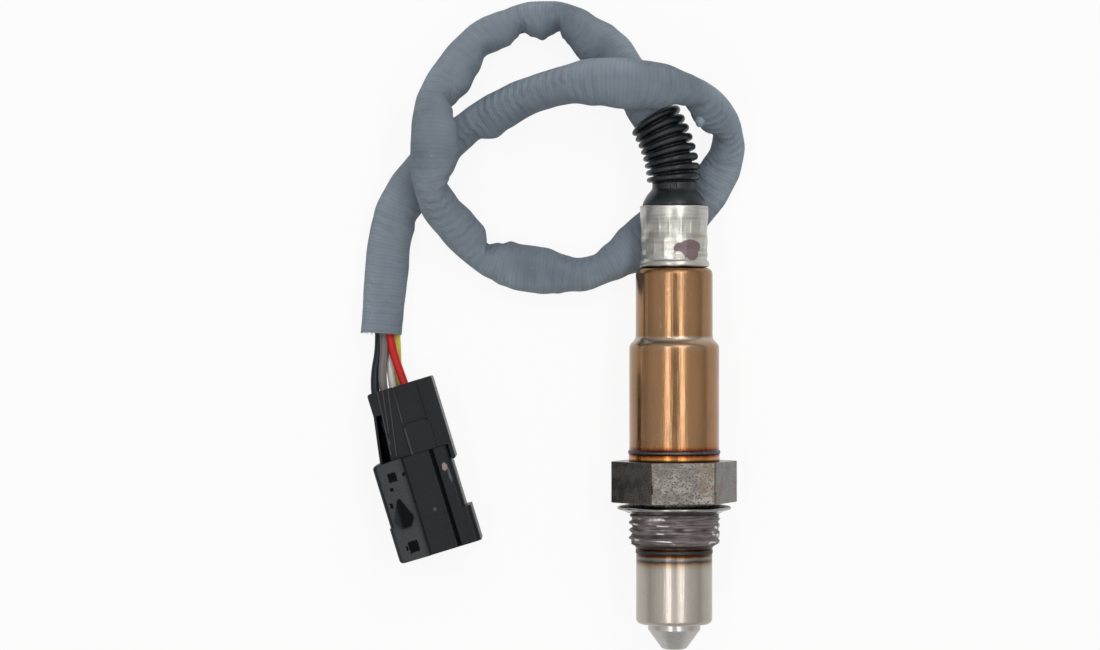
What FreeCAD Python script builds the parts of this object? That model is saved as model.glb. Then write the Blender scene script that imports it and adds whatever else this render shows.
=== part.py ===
import FreeCAD, Part
import Sketcher
import math
import os
import re

# Wideband exhaust oxygen sensor with its harness and plug, lying on a table.
# The sensor's axis is Y. Y = 0 is the plane where the sealing ring meets the exhaust boss, and the tip
# points to -Y. X runs across the sensor and Z is up. All lengths are millimetres, all angles degrees.

# Sizes: each one written once, in the order of the pieces
SIZES = {
    # Steel housing with thread and hexagon
    "thread_major": 18.0,
    "thread_length": 6.5,
    "thread_chamfer": 1.0,
    "neck_radius": 8.1,
    "neck_taper": 0.45,
    "hex_flats": 22.0,
    "hex_height": 8.16,
    "hex_turn": 7.6,
    "hex_corner_cut": 0.45,
    "hex_notch_depth": 0.5,
    "hex_notch_level": 1.85,
    "collar_radius": 8.4,
    "collar_height": 4.2,
    "nose_radius": 7.0,
    "nose_length": 3.5,
    "lower_bore": 5.3,
    "packing_bore": 6.3,
    "seat_level": -2.0,
    "seat_drop": 1.0,
    # Sealing ring, folded from sheet
    "ring_bore": 8.4,
    "ring_width": 2.9,
    "ring_height": 1.7,
    "ring_play": 0.44,
    "ring_fold": 0.3,
    "ring_rim": 0.8,
    # Protection tubes
    "outer_tube_radius": 7.535,
    "outer_tube_length": 14.9,
    "tube_wall": 0.5,
    "tube_corner": 1.0,
    "inner_tube_radius": 5.2,
    "inner_nose_step": 1.1,
    "inner_nose_length": 3.7,
    "inner_nose_radius": 2.5,
    "inner_tip_radius": 1.75,
    "inner_tip_round": 0.3,
    "tip_hole_radius": 0.9,
    "gas_hole_radius": 0.6,
    "gas_hole_count": 8,
    # Ceramic strip and its packing
    "strip_width": 4.2,
    "strip_thickness": 1.5,
    "strip_bottom": -20.5,
    "strip_top": 34.0,
    "strip_bevel": 0.4,
    "bush_height": 3.9,
    "talc_height": 4.0,
    "upper_bush_height": 4.0,
    "retainer_height": 1.2,
    "retainer_bore": 4.5,
    # Protective sleeve
    "sleeve_wall": 0.5,
    "sleeve_radius": 8.9,
    "sleeve_foot_radius": 9.03,
    "sleeve_foot_height": 0.7,
    "sleeve_shoulder": 33.3,
    "shoulder_height": 1.5,
    "sleeve_upper_radius": 7.62,
    "sleeve_top": 48.55,
    "sleeve_top_round": 1.3,
    "sleeve_mouth_radius": 6.1,
    # Contact holders, spring ring and contacts
    "front_holder_radius": 6.3,
    "front_holder_bottom": 22.0,
    "front_holder_length": 11.0,
    "rear_holder_radius": 6.9,
    "rear_holder_gap": 2.4,
    "rear_holder_length": 9.4,
    "holder_slot_width": 5.4,
    "holder_slot_depth": 3.6,
    "clip_wall": 0.25,
    "clip_length": 7.0,
    "contact_width": 0.9,
    "contact_thickness": 0.3,
    "contact_length": 17.0,
    "barrel_radius": 0.9,
    "barrel_length": 4.2,
    "pad_pitch": 1.45,
    # Crimp sleeve
    "crimp_wall": 0.5,
    "crimp_bead_radius": 6.85,
    "crimp_bead_height": 1.4,
    "crimp_gap": 0.1,
    "crimp_spigot": 2.0,
    "crimp_spigot_radius": 6.0,
    "crimp_body_radius": 6.65,
    "crimp_waist_radius": 6.45,
    "crimp_lower_waist": 3.2,
    "crimp_bulge": 5.2,
    "crimp_upper_waist": 7.4,
    "crimp_rim": 9.8,
    "crimp_rim_radius": 6.75,
    "crimp_top": 12.15,
    # Rubber boot
    "contact_gap": 1.35,
    "dome_radius": 6.2,
    "dome_height": 3.0,
    "boot_neck_radius": 4.25,
    "root_radius": 4.0,
    "boot_bore": 3.2,
    "bellows_radius": 5.375,
    "bellows_rim": 1.15,
    "bellows_bevel": 0.36,
    "bellows_pitch": 1.72,
    "bellows_count": 8,
    "first_ring": 2.2,
    "bend_radius": 27.0,
    "bend_roll": 15.0,
    "spigot_radius": 3.65,
    "spigot_length": 3.0,
    "dome_wall": 1.2,
    # Wires and woven sleeve
    "wire_diameter": 1.7,
    "wire_fit": 0.1,
    "wire_hole_pitch": 2.1,
    "wire_row": 1.03,
    "bundle_pitch": 1.75,
    "bundle_row": 0.78,
    "harness_diameter": 8.4,
    "flat_width": 11.2,
    "flat_height": 4.6,
    "open_end": 8.0,
    "fan_length": 1.5,
    "table_level": -11.74,
    # Plug on the harness
    "plug_x": -54.54,
    "plug_y": 25.27,
    "plug_turn": 17.0,
    "plug_height": 13.0,
    "hood_left": 9.8,
    "hood_right": 5.75,
    "hood_start": 13.9,
    "hood_end": 34.0,
    "hood_wall": 1.3,
    "flare_start": 26.7,
    "flare_left": 0.25,
    "flare_right": 1.0,
    "flare_up": 0.1,
    "strip_face_width": 5.9,
    "strip_face_step": 0.5,
    "groove_left": 1.9,
    "groove_width": 0.9,
    "groove_depth": 0.9,
    "hood_corner": 1.3,
    "ramp_start": 21.3,
    "ramp_widest": 25.6,
    "ramp_end": 27.3,
    "ramp_width": 3.9,
    "ramp_height": 1.1,
    "ramp_offset": 3.2,
    "cavity_pitch": 3.1,
    "cavity_row": 1.75,
    "cavity_shift": 1.75,
    "entry_depth": 0.5,
    "cavity_lead": 10.5,
    "rear_pocket": 3.4,
    "front_pocket": 11.5,
    "seal_length": 2.6,
    "seal_radius": 1.3,
    "terminal_start": 20.1,
    "terminal_size": 1.9,
    "terminal_box": 4.4,
    "terminal_blade": 6.0,
    "blade_width": 1.5,
    "blade_thickness": 0.64,
    "lock_thickness": 1.6,
    "part_fit": 0.1,
    "cover_half_width": 6.65,
    "cover_splay": 1.5,
    "cover_skirt": 17.0,
    "cover_wall": 0.8,
    "cover_tongue": 2.8,
    "cover_height": 11.4,
    "cover_floor": 1.3,
    "fin_width": 0.5,
    "roof_drop": 0.5,
    "roof_wall": 0.9,
    "roof_end": 3.5,
    "window_start": 4.6,
    "window_width": 1.7,
    "window_splay": 1.0,
    "rib_width": 0.3,
    "rib_height": 0.3,
    "tab_left": 1.6,
    "tab_right": 3.8,
    "tab_start": 7.7,
    "tab_corner": 0.9,
    "tab_rise": 0.2,
}

# Wires by colour: column and row in the bundle, cavity column and row in the plug, and where the wire
# crosses the plug's rear edge: sideways from its cavity, and height
WIRES = {
    "black": {"column": -1.0, "row": -1, "cavity": -1, "level": 1, "sway": 0.05, "entry": 0.4},
    "grey": {"column": -0.5, "row": 1, "cavity": 0, "level": 1, "sway": -0.3, "entry": 0.3},
    "white": {"column": 0.0, "row": -1, "cavity": 0, "level": -1, "sway": 0.3, "entry": -2.4},
    "red": {"column": 0.5, "row": 1, "cavity": 1, "level": 1, "sway": 0.05, "entry": 0.2},
    "yellow": {"column": 1.0, "row": -1, "cavity": 1, "level": -1, "sway": -0.35, "entry": -2.5},
}

# Ribs on the wire cover's roof: across at the rear edge, across and along where they end
RIBS = [
    (-4.5, -5.5, 12.8),
    (-3.4, -4.7, 8.6),
    (-2.3, -4.5, 13.2),
    (-1.2, -1.5, 7.4),
]

# Route of the harness after the boot, to where it is squashed under the crimp sleeve
ROUTE_IN = [
    (-14.6, 93.7, -4.5),
    (-20.0, 99.0, -6.3),
    (-28.5, 99.3, -7.54),
    (-37.5, 96.2, -7.3),
    (-43.6, 88.8, -4.2),
    (-47.6, 80.2, 1.2),
    (-48.0, 73.6, 3.9),
    (-48.4, 67.6, 3.9),
    (-46.6, 60.8, -0.5),
    (-40.2, 51.6, -6.9),
    (-33.0, 49.1, -7.54),
    (-24.5, 49.3, -7.54),
    (-17.0, 46.8, -7.54),
    (-9.8, 51.05, -7.54),
]

# The squashed stretch under the crimp sleeve
ROUTE_FLAT = [
    (-4.0, 55.1),
    (2.5, 60.0),
]

# Route from there, round the right-hand bend, over its own start and down to the plug
ROUTE_OUT = [
    (7.7, 65.2, -7.54),
    (11.4, 71.4, -7.0),
    (12.0, 77.2, -3.4),
    (9.2, 81.6, 0.9),
    (4.5, 83.9, 5.2),
    (-3.9, 84.5, 9.2),
    (-13.7, 85.1, 9.2),
    (-21.1, 84.6, 4.8),
    (-30.5, 82.0, -2.0),
    (-39.5, 77.8, -7.3),
    (-47.4, 71.1, -7.54),
    (-53.4, 63.3, -7.54),
    (-56.8, 53.4, -7.54),
    (-57.9, 44.2, -7.54),
    (-58.45, 35.63, -7.54),
]

doc = FreeCAD.newDocument("oxygen_sensor")
sheet = doc.addObject("Spreadsheet::Sheet", "Sizes")
for line, (name, value) in enumerate(SIZES.items(), start=1):
    sheet.set(f"A{line}", name)
    sheet.set(f"B{line}", str(value))
    sheet.setAlias(f"B{line}", name)
doc.recompute()

NODES = []


def formula(text):
    """A formula with every size in it pointed at its cell in the sheet."""
    return re.sub(
        r"[a-z][a-z_]*",
        lambda word: "Sizes." + word.group() if word.group() in SIZES else word.group(),
        str(text),
    )


def number(text):
    """What a formula of sizes comes to."""
    return float(sheet.evalExpression(formula(text)))


def point(*texts):
    return FreeCAD.Vector(*[number(text) for text in texts])


def new_body(label):
    body = doc.addObject("PartDesign::Body", label)
    body.Label = label
    NODES.append(body)
    return body


def new_sketch(body, name, plane, level="0", reverse_level=False):
    """A sketch on one of the body's own planes, moved along the plane's normal to a level."""
    sketch = body.newObject("Sketcher::SketchObject", name)
    support = [item for item in body.Origin.OriginFeatures if item.Role == plane][0]
    sketch.AttachmentSupport = [(support, "")]
    sketch.MapMode = "FlatFace"
    sign = "-1" if reverse_level else "1"
    sketch.setExpression("AttachmentOffset.Base.z", formula(f"{sign} * ({level})"))
    return sketch


def bind_point(sketch, index, end, across, along):
    """Hold a sketch point at two formulas; a point on the sketch's vertical axis stays on it."""
    if str(across) == "0":
        sketch.addConstraint(Sketcher.Constraint("PointOnObject", index, end, -2))
    else:
        held = sketch.addConstraint(
            Sketcher.Constraint("DistanceX", -1, 1, index, end, number(across))
        )
        sketch.setExpression(f"Constraints[{held}]", formula(across))
    held = sketch.addConstraint(
        Sketcher.Constraint("DistanceY", -1, 1, index, end, number(along))
    )
    sketch.setExpression(f"Constraints[{held}]", formula(along))


def add_outline(sketch, corners):
    """A closed outline of straight lines, each corner held by a pair of formulas."""
    first = sketch.GeometryCount
    places = [point(across, along, "0") for across, along in corners]
    count = len(corners)
    for step in range(count):
        line = Part.LineSegment(places[step], places[(step + 1) % count])
        sketch.addGeometry(line, False)
    for step in range(count):
        following = first + (step + 1) % count
        sketch.addConstraint(
            Sketcher.Constraint("Coincident", first + step, 2, following, 1)
        )
    for step, (across, along) in enumerate(corners):
        bind_point(sketch, first + step, 1, across, along)


def add_rectangle(sketch, left, right, low, high):
    add_outline(sketch, [(left, low), (right, low), (right, high), (left, high)])


def add_circle(sketch, across, along, radius):
    index = sketch.GeometryCount
    centre = point(across, along, "0")
    circle = Part.Circle(centre, FreeCAD.Vector(0, 0, 1), number(radius))
    sketch.addGeometry(circle, False)
    if str(across) == "0" and str(along) == "0":
        sketch.addConstraint(Sketcher.Constraint("Coincident", index, 3, -1, 1))
    else:
        bind_point(sketch, index, 3, across, along)
    held = sketch.addConstraint(Sketcher.Constraint("Radius", index, number(radius)))
    sketch.setExpression(f"Constraints[{held}]", formula(radius))


def revolve(body, name, corners, kind="PartDesign::Revolution"):
    """Turn an outline of radius and height round the sensor's axis, as a solid or as a cut."""
    sketch = new_sketch(body, name + "_outline", "XY_Plane")
    add_outline(sketch, corners)
    turned = body.newObject(kind, name)
    turned.Profile = sketch
    turned.ReferenceAxis = (sketch, ["V_Axis"])
    turned.Angle = 360
    return turned


def pad(body, name, sketch, length, away=False):
    """Raise a sketch to a length, along its normal or away from it."""
    raised = body.newObject("PartDesign::Pad", name)
    raised.Profile = sketch
    raised.Reversed = away
    raised.setExpression("Length", formula(length))
    return raised


def pocket(body, name, sketch, length, away=False):
    """Cut a sketch to a depth; as drawn it cuts against the sketch's normal."""
    cut = body.newObject("PartDesign::Pocket", name)
    cut.Profile = sketch
    cut.Reversed = away
    cut.setExpression("Length", formula(length))
    return cut


def dress_edges(body, name, size, names, kind="PartDesign::Fillet"):
    """Round or bevel named edges of the tip."""
    base = body.Tip
    dressed = body.newObject(kind, name)
    dressed.Base = (base, names)
    measure = "Size" if kind == "PartDesign::Chamfer" else "Radius"
    dressed.setExpression(measure, formula(size))
    doc.recompute()
    return dressed


def round_circles(body, name, radius, circles, kind="PartDesign::Fillet"):
    """Round or bevel the tip's circular edges, each given by its radius and its height on the axis."""
    doc.recompute()
    base = body.Tip
    chosen = []
    for circle_radius, height in circles:
        for index, edge in enumerate(base.Shape.Edges, start=1):
            if not isinstance(edge.Curve, Part.Circle):
                continue
            right_size = abs(edge.Curve.Radius - number(circle_radius)) < 0.001
            right_height = abs(edge.Curve.Center.y - number(height)) < 0.001
            if right_size and right_height:
                chosen.append(f"Edge{index}")
    return dress_edges(body, name, radius, chosen, kind)


def edges_along(shape, direction, keep):
    """Names of the straight edges that run along a direction and whose middle passes a test."""
    names = []
    for index, edge in enumerate(shape.Edges, start=1):
        if not isinstance(edge.Curve, Part.Line):
            continue
        heading = edge.Vertexes[-1].Point - edge.Vertexes[0].Point
        if heading.Length < 0.001:
            continue
        if abs(abs(heading.normalize().dot(direction)) - 1) > 0.001:
            continue
        if keep(edge.CenterOfMass):
            names.append(f"Edge{index}")
    return names


# Levels along the axis that several pieces share
HEX_BOTTOM = "(ring_height + ring_play)"
HEX_TOP = f"({HEX_BOTTOM} + hex_height)"
NOSE_TOP = "(-thread_length - 0.5)"
NOSE_END = f"({NOSE_TOP} - nose_length)"
TUBE_END = f"({NOSE_TOP} - outer_tube_length)"
PACKING_START = "(seat_level + seat_drop)"
BUSH_TOP = f"({PACKING_START} + bush_height)"
TALC_TOP = f"({BUSH_TOP} + talc_height)"
UPPER_BUSH_TOP = f"({TALC_TOP} + upper_bush_height)"
COLLAR_TOP = f"({HEX_TOP} + collar_height)"
REAR_HOLDER_START = "(front_holder_bottom + front_holder_length + rear_holder_gap)"
CRIMP_START = "(sleeve_top + crimp_gap)"
CRIMP_TOP = f"({CRIMP_START} + crimp_top)"
PLUG_START = f"({CRIMP_START} + crimp_lower_waist)"
DOME_TOP = f"({CRIMP_TOP} + dome_height)"
BEND_START = f"({DOME_TOP} + 0.3)"
CONTACT_END = f"({PLUG_START} - contact_gap)"

# Hexagon housing: turned bar with the thread's full diameter, nose, neck, bored for the packing
housing = new_body("hex_housing")
hex_inside = "(hex_flats / 2 - 0.5)"
revolve(
    housing,
    "housing_turned",
    [
        ("lower_bore", NOSE_END),
        ("nose_radius", NOSE_END),
        ("nose_radius", NOSE_TOP),
        ("thread_major / 2 - thread_chamfer", NOSE_TOP),
        ("thread_major / 2", f"{NOSE_TOP} + thread_chamfer"),
        ("thread_major / 2", "-neck_taper"),
        ("neck_radius", "0"),
        ("neck_radius", HEX_BOTTOM),
        (hex_inside, HEX_BOTTOM),
        (hex_inside, HEX_TOP),
        ("collar_radius", HEX_TOP),
        ("collar_radius", COLLAR_TOP),
        ("packing_bore", COLLAR_TOP),
        ("packing_bore", PACKING_START),
        ("lower_bore", "seat_level"),
    ],
)
hexagon = new_sketch(housing, "hexagon_outline", "XZ_Plane", HEX_BOTTOM, True)
across_corners = "hex_flats / cos(30) / 2"
add_outline(
    hexagon,
    [
        (f"{across_corners} * cos({60 * corner})", f"{across_corners} * sin({60 * corner})")
        for corner in range(6)
    ],
)
add_circle(hexagon, "0", "0", f"{hex_inside} - 0.5")
pad(housing, "hexagon", hexagon, "hex_height", True)
chamfer_start = f"({across_corners} - hex_corner_cut)"
chamfer_reach = "(hex_corner_cut * 2)"
revolve(
    housing,
    "hexagon_top_chamfer",
    [
        (chamfer_start, HEX_TOP),
        (f"{chamfer_start} + {chamfer_reach}", HEX_TOP),
        (f"{chamfer_start} + {chamfer_reach}", f"{HEX_TOP} - {chamfer_reach} * tan(30)"),
    ],
    "PartDesign::Groove",
)
revolve(
    housing,
    "hexagon_bottom_chamfer",
    [
        (chamfer_start, HEX_BOTTOM),
        (f"{chamfer_start} + {chamfer_reach}", HEX_BOTTOM),
        (f"{chamfer_start} + {chamfer_reach}", f"{HEX_BOTTOM} + {chamfer_reach} * tan(30)"),
    ],
    "PartDesign::Groove",
)
notch_root = f"({across_corners} - hex_notch_depth)"
notch_level = f"({HEX_BOTTOM} + hex_notch_level)"
revolve(
    housing,
    "hexagon_notch",
    [
        (notch_root, notch_level),
        (f"{notch_root} + 2 * hex_notch_depth", f"{notch_level} - hex_notch_depth"),
        (f"{notch_root} + 2 * hex_notch_depth", f"{notch_level} + hex_notch_depth"),
    ],
    "PartDesign::Groove",
)
housing.Placement = FreeCAD.Placement(
    FreeCAD.Vector(), FreeCAD.Rotation(FreeCAD.Vector(0, 1, 0), number("hex_turn"))
)

# Sealing ring: sheet folded on itself, open inwards, held on the neck by the thread's crest
ring = new_body("sealing_ring")
RING_EDGE = "(ring_bore + ring_width)"
fold_low = "(ring_height - ring_fold) / 2"
fold_high = "(ring_height + ring_fold) / 2"
revolve(
    ring,
    "ring_turned",
    [
        ("ring_bore", "0"),
        (RING_EDGE, "0"),
        (RING_EDGE, "ring_height"),
        ("ring_bore", "ring_height"),
        ("ring_bore", fold_high),
        (f"{RING_EDGE} - ring_rim", fold_high),
        (f"{RING_EDGE} - ring_rim", fold_low),
        ("ring_bore", fold_low),
    ],
)
round_circles(
    ring,
    "ring_bend",
    "ring_height * 0.3",
    [(RING_EDGE, "0"), (RING_EDGE, "ring_height")],
    "PartDesign::Chamfer",
)

# Outer protection tube: drawn cup over the nose, end plate pierced for the inner tube and the gas
outer_tube = new_body("outer_protection_tube")
tube_inside = "(outer_tube_radius - tube_wall)"
end_inside = f"({TUBE_END} + tube_wall)"
revolve(
    outer_tube,
    "outer_tube_turned",
    [
        ("inner_tube_radius + part_fit / 4", TUBE_END),
        ("outer_tube_radius", TUBE_END),
        ("outer_tube_radius", NOSE_TOP),
        (tube_inside, NOSE_TOP),
        (tube_inside, end_inside),
        ("inner_tube_radius + part_fit / 4", end_inside),
    ],
)
round_circles(outer_tube, "outer_tube_corner", "tube_corner", [("outer_tube_radius", TUBE_END)])
gas_hole = new_sketch(outer_tube, "gas_hole_outline", "XZ_Plane", end_inside, True)
add_circle(gas_hole, "(inner_tube_radius + outer_tube_radius - tube_corner) / 2", "0", "gas_hole_radius")
gas_cut = pocket(outer_tube, "gas_hole", gas_hole, "2 * tube_wall", True)
gas_ring = outer_tube.newObject("PartDesign::PolarPattern", "gas_holes")
gas_ring.Originals = [gas_cut]
gas_ring.Axis = (gas_hole, ["N_Axis"])
gas_ring.Angle = 360
gas_ring.setExpression("Occurrences", formula("gas_hole_count"))
outer_tube.Tip = gas_ring

# Inner protection tube: drawn nose with an exit hole, flanged under the housing's nose
inner_tube = new_body("inner_protection_tube")
inner_flange = f"({NOSE_END} - tube_wall)"
nose_step = f"({TUBE_END} - inner_nose_step)"
nose_end = f"({nose_step} - inner_nose_length)"
revolve(
    inner_tube,
    "inner_tube_turned",
    [
        ("tip_hole_radius", f"{nose_end} - inner_tip_round"),
        ("inner_tip_radius", f"{nose_end} - inner_tip_round"),
        ("inner_nose_radius", nose_end),
        ("inner_tube_radius", nose_step),
        ("inner_tube_radius", inner_flange),
        (f"{tube_inside} - part_fit / 4", inner_flange),
        (f"{tube_inside} - part_fit / 4", NOSE_END),
        ("inner_tube_radius - tube_wall", NOSE_END),
        ("inner_tube_radius - tube_wall", nose_step),
        ("inner_nose_radius - tube_wall", f"{nose_end} + tube_wall / 2"),
        ("tip_hole_radius", f"{nose_end} + tube_wall / 2"),
    ],
)

# Ceramic strip: laminated planar element, from the inner tube to the contacts
strip = new_body("sensing_element")
strip_outline = new_sketch(strip, "strip_outline", "XZ_Plane", "strip_bottom", True)
add_rectangle(
    strip_outline,
    "-strip_width / 2",
    "strip_width / 2",
    "-strip_thickness / 2",
    "strip_thickness / 2",
)
pad(strip, "strip_bar", strip_outline, "strip_top - strip_bottom", True)
doc.recompute()
tip_edges = edges_along(
    strip.Tip.Shape,
    FreeCAD.Vector(1, 0, 0),
    lambda middle: abs(middle.y - number("strip_bottom")) < 0.001,
)
dress_edges(strip, "strip_bevels", "strip_bevel", tip_edges, "PartDesign::Chamfer")


def packing(label, radius, low, high, clearance):
    """A round packing piece with the strip's slot through it."""
    body = new_body(label)
    outline = new_sketch(body, label + "_outline", "XZ_Plane", low, True)
    add_circle(outline, "0", "0", radius)
    add_rectangle(
        outline,
        f"-strip_width / 2 - {clearance}",
        f"strip_width / 2 + {clearance}",
        f"-strip_thickness / 2 - {clearance}",
        f"strip_thickness / 2 + {clearance}",
    )
    pad(body, label + "_disc", outline, f"{high} - {low}", True)
    return body


# Packing: ceramic bush on the conical seat, pressed talc, second bush, steel retaining ring
lower_bush = packing(
    "lower_ceramic_bush", "packing_bore - part_fit", "seat_level", BUSH_TOP, "part_fit"
)
round_circles(
    lower_bush,
    "bush_cone",
    "seat_drop",
    [("packing_bore - part_fit", "seat_level")],
    "PartDesign::Chamfer",
)
packing("talc_seal", "packing_bore", BUSH_TOP, TALC_TOP, "0")
packing("upper_ceramic_bush", "packing_bore - part_fit", TALC_TOP, UPPER_BUSH_TOP, "part_fit")
retainer = new_body("retaining_ring")
revolve(
    retainer,
    "retainer_turned",
    [
        ("retainer_bore", UPPER_BUSH_TOP),
        ("packing_bore", UPPER_BUSH_TOP),
        ("packing_bore", f"{UPPER_BUSH_TOP} + retainer_height"),
        ("retainer_bore", f"{UPPER_BUSH_TOP} + retainer_height"),
    ],
)

# Protective sleeve: stepped drawn cup, welded round the housing's collar
protective = new_body("protective_sleeve")
shoulder_top = "(sleeve_shoulder + shoulder_height)"
revolve(
    protective,
    "sleeve_turned",
    [
        ("collar_radius", HEX_TOP),
        ("sleeve_foot_radius", HEX_TOP),
        ("sleeve_foot_radius", f"{HEX_TOP} + sleeve_foot_height"),
        ("sleeve_radius", f"{HEX_TOP} + 2 * sleeve_foot_height"),
        ("sleeve_radius", "sleeve_shoulder"),
        ("sleeve_upper_radius", shoulder_top),
        ("sleeve_upper_radius", "sleeve_top"),
        ("sleeve_mouth_radius", "sleeve_top"),
        ("sleeve_mouth_radius", "sleeve_top - sleeve_wall"),
        ("sleeve_upper_radius - sleeve_wall", "sleeve_top - sleeve_wall"),
        ("sleeve_upper_radius - sleeve_wall", shoulder_top),
        ("collar_radius", "sleeve_shoulder"),
    ],
)
round_circles(
    protective,
    "sleeve_top_bend",
    "sleeve_top_round",
    [("sleeve_upper_radius", "sleeve_top")],
)


def holder(label, radius, low, length):
    """A ceramic holder with one slot that takes the strip and both rows of contacts."""
    body = new_body(label)
    outline = new_sketch(body, label + "_outline", "XZ_Plane", low, True)
    add_circle(outline, "0", "0", radius)
    add_rectangle(
        outline,
        "-holder_slot_width / 2",
        "holder_slot_width / 2",
        "-holder_slot_depth / 2",
        "holder_slot_depth / 2",
    )
    pad(body, label + "_block", outline, length, True)
    round_circles(
        body,
        label + "_bevel",
        "strip_bevel",
        [(radius, low), (radius, f"{low} + {length}")],
        "PartDesign::Chamfer",
    )


# Contact holders: the front one guides the strip, the rear one the contacts' tails
holder("contact_holder_front", "front_holder_radius", "front_holder_bottom", "front_holder_length")
holder("contact_holder_rear", "rear_holder_radius", REAR_HOLDER_START, "rear_holder_length")

# Spring ring: hoop on the front holder with a flange that springs against the sleeve's wall
clip = new_body("contact_spring_clip")
clip_inside = "(front_holder_radius + part_fit / 2)"
clip_top = "(front_holder_bottom + front_holder_length - 1)"
revolve(
    clip,
    "clip_turned",
    [
        (clip_inside, f"{clip_top} - clip_length"),
        (f"{clip_inside} + clip_wall", f"{clip_top} - clip_length"),
        (f"{clip_inside} + clip_wall", f"{clip_top} - clip_wall"),
        ("collar_radius - part_fit / 2", f"{clip_top} - clip_wall"),
        ("collar_radius - part_fit / 2", clip_top),
        (clip_inside, clip_top),
    ],
)


def hole_place(wire):
    """Across and up from the axis to a wire's hole in the boot."""
    return f"-({wire['column']} * wire_hole_pitch)", f"{wire['row']} * wire_row"


# Spring contacts: a flat blade on the strip's pad, with the barrel crimped on the wire's end
for colour, wire in WIRES.items():
    across, up = hole_place(wire)
    contact = new_body(f"contact_{colour}")
    outline = new_sketch(contact, f"barrel_outline_{colour}", "XZ_Plane", CONTACT_END, True)
    add_circle(outline, across, up, "barrel_radius")
    pad(contact, f"barrel_{colour}", outline, "barrel_length")
    outline = new_sketch(
        contact, f"blade_outline_{colour}", "XZ_Plane", f"{CONTACT_END} - barrel_length / 2", True
    )
    middle = f"-({wire['column']} * pad_pitch)"
    near = f"{wire['row']} * strip_thickness / 2"
    far = f"{wire['row']} * (strip_thickness / 2 + contact_thickness)"
    low, high = (near, far) if wire["row"] > 0 else (far, near)
    add_rectangle(
        outline,
        f"{middle} - contact_width / 2",
        f"{middle} + contact_width / 2",
        low,
        high,
    )
    pad(contact, f"blade_{colour}", outline, "contact_length + barrel_length / 2")

# Crimp sleeve: silver tube with a flange bead, squeezed on the boot at two waists
crimp = new_body("crimp_sleeve")
crimp_line = [
    ("crimp_body_radius", "crimp_bead_height + 0.3"),
    ("crimp_waist_radius", "crimp_lower_waist"),
    ("crimp_body_radius", "crimp_bulge"),
    ("crimp_waist_radius", "crimp_upper_waist"),
    ("crimp_rim_radius", "crimp_rim"),
    ("crimp_rim_radius", "crimp_top"),
]
outside = [
    ("crimp_spigot_radius - crimp_wall", f"{CRIMP_START} - crimp_spigot"),
    ("crimp_spigot_radius", f"{CRIMP_START} - crimp_spigot"),
    ("crimp_spigot_radius", CRIMP_START),
    ("crimp_bead_radius", CRIMP_START),
    ("crimp_bead_radius", f"{CRIMP_START} + crimp_bead_height"),
]
outside += [(radius, f"{CRIMP_START} + {rise}") for radius, rise in crimp_line]
inside = [
    (f"{radius} - crimp_wall", f"{CRIMP_START} + {rise}") for radius, rise in reversed(crimp_line)
]
revolve(crimp, "crimp_turned", outside + inside)
round_circles(
    crimp,
    "bead_bevel",
    "crimp_bead_height * 0.2",
    [
        ("crimp_bead_radius", CRIMP_START),
        ("crimp_bead_radius", f"{CRIMP_START} + crimp_bead_height"),
    ],
    "PartDesign::Chamfer",
)

# Rubber boot: one moulding of plug, dome, neck and bellows, bent to the left and a little down
boot = new_body("bellows_grommet")
plug_side = [
    (f"{radius} - crimp_wall", f"{CRIMP_START} + {rise}") for radius, rise in crimp_line[1:-1]
]
revolve(
    boot,
    "boot_plug",
    [("0", PLUG_START)]
    + plug_side
    + [
        ("dome_radius", CRIMP_TOP),
        ("dome_radius - 0.5", f"{CRIMP_TOP} + dome_height * 0.3"),
        ("boot_neck_radius + 0.5", f"{CRIMP_TOP} + dome_height * 0.8"),
        ("boot_neck_radius", DOME_TOP),
        ("boot_neck_radius", BEND_START),
        ("0", BEND_START),
    ],
)

# Bend of the boot: a centre to the left of the axis, angles counted from where the bend starts
STEP_ANGLE = "(bellows_pitch / bend_radius * 180 / pi)"
FIRST_ANGLE = "(first_ring / bend_radius * 180 / pi)"
BELLOWS_ANGLE = f"({FIRST_ANGLE} + {STEP_ANGLE} * (bellows_count - 1))"
BOOT_ANGLE = f"({BELLOWS_ANGLE} + (bellows_rim / 2 + 0.3) / bend_radius * 180 / pi)"


def bent(name, radius, angle, kind="PartDesign::Revolution"):
    """A round section of the boot swung about the bend's centre."""
    sketch = new_sketch(boot, name + "_section", "XZ_Plane", BEND_START, True)
    add_circle(sketch, "0", "0", radius)
    axis = Part.LineSegment(point("-bend_radius", "-1", "0"), point("-bend_radius", "1", "0"))
    line = sketch.addGeometry(axis, True)
    bind_point(sketch, line, 1, "-bend_radius", "-1")
    bind_point(sketch, line, 2, "-bend_radius", "1")
    swung = boot.newObject(kind, name)
    swung.Profile = sketch
    swung.ReferenceAxis = (sketch, ["Axis0"])
    swung.setExpression("Angle", formula(angle))
    return swung


def bend_sketch(name, angle):
    """A sketch across the bend at an angle, its vertical axis along the boot."""
    sketch = new_sketch(boot, name, "XY_Plane")
    sketch.AttachmentOffset = FreeCAD.Placement(
        FreeCAD.Vector(), FreeCAD.Rotation(FreeCAD.Vector(0, 0, 1), number(angle))
    )
    sketch.setExpression("AttachmentOffset.Base.x", formula(f"bend_radius * (cos({angle}) - 1)"))
    sketch.setExpression(
        "AttachmentOffset.Base.y", formula(f"{BEND_START} + bend_radius * sin({angle})")
    )
    sketch.setExpression("AttachmentOffset.Rotation.Angle", formula(angle))
    return sketch


def spin(name, sketch, kind="PartDesign::Revolution"):
    turned = boot.newObject(kind, name)
    turned.Profile = sketch
    turned.ReferenceAxis = (sketch, ["V_Axis"])
    turned.Angle = 360
    return turned


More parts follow.
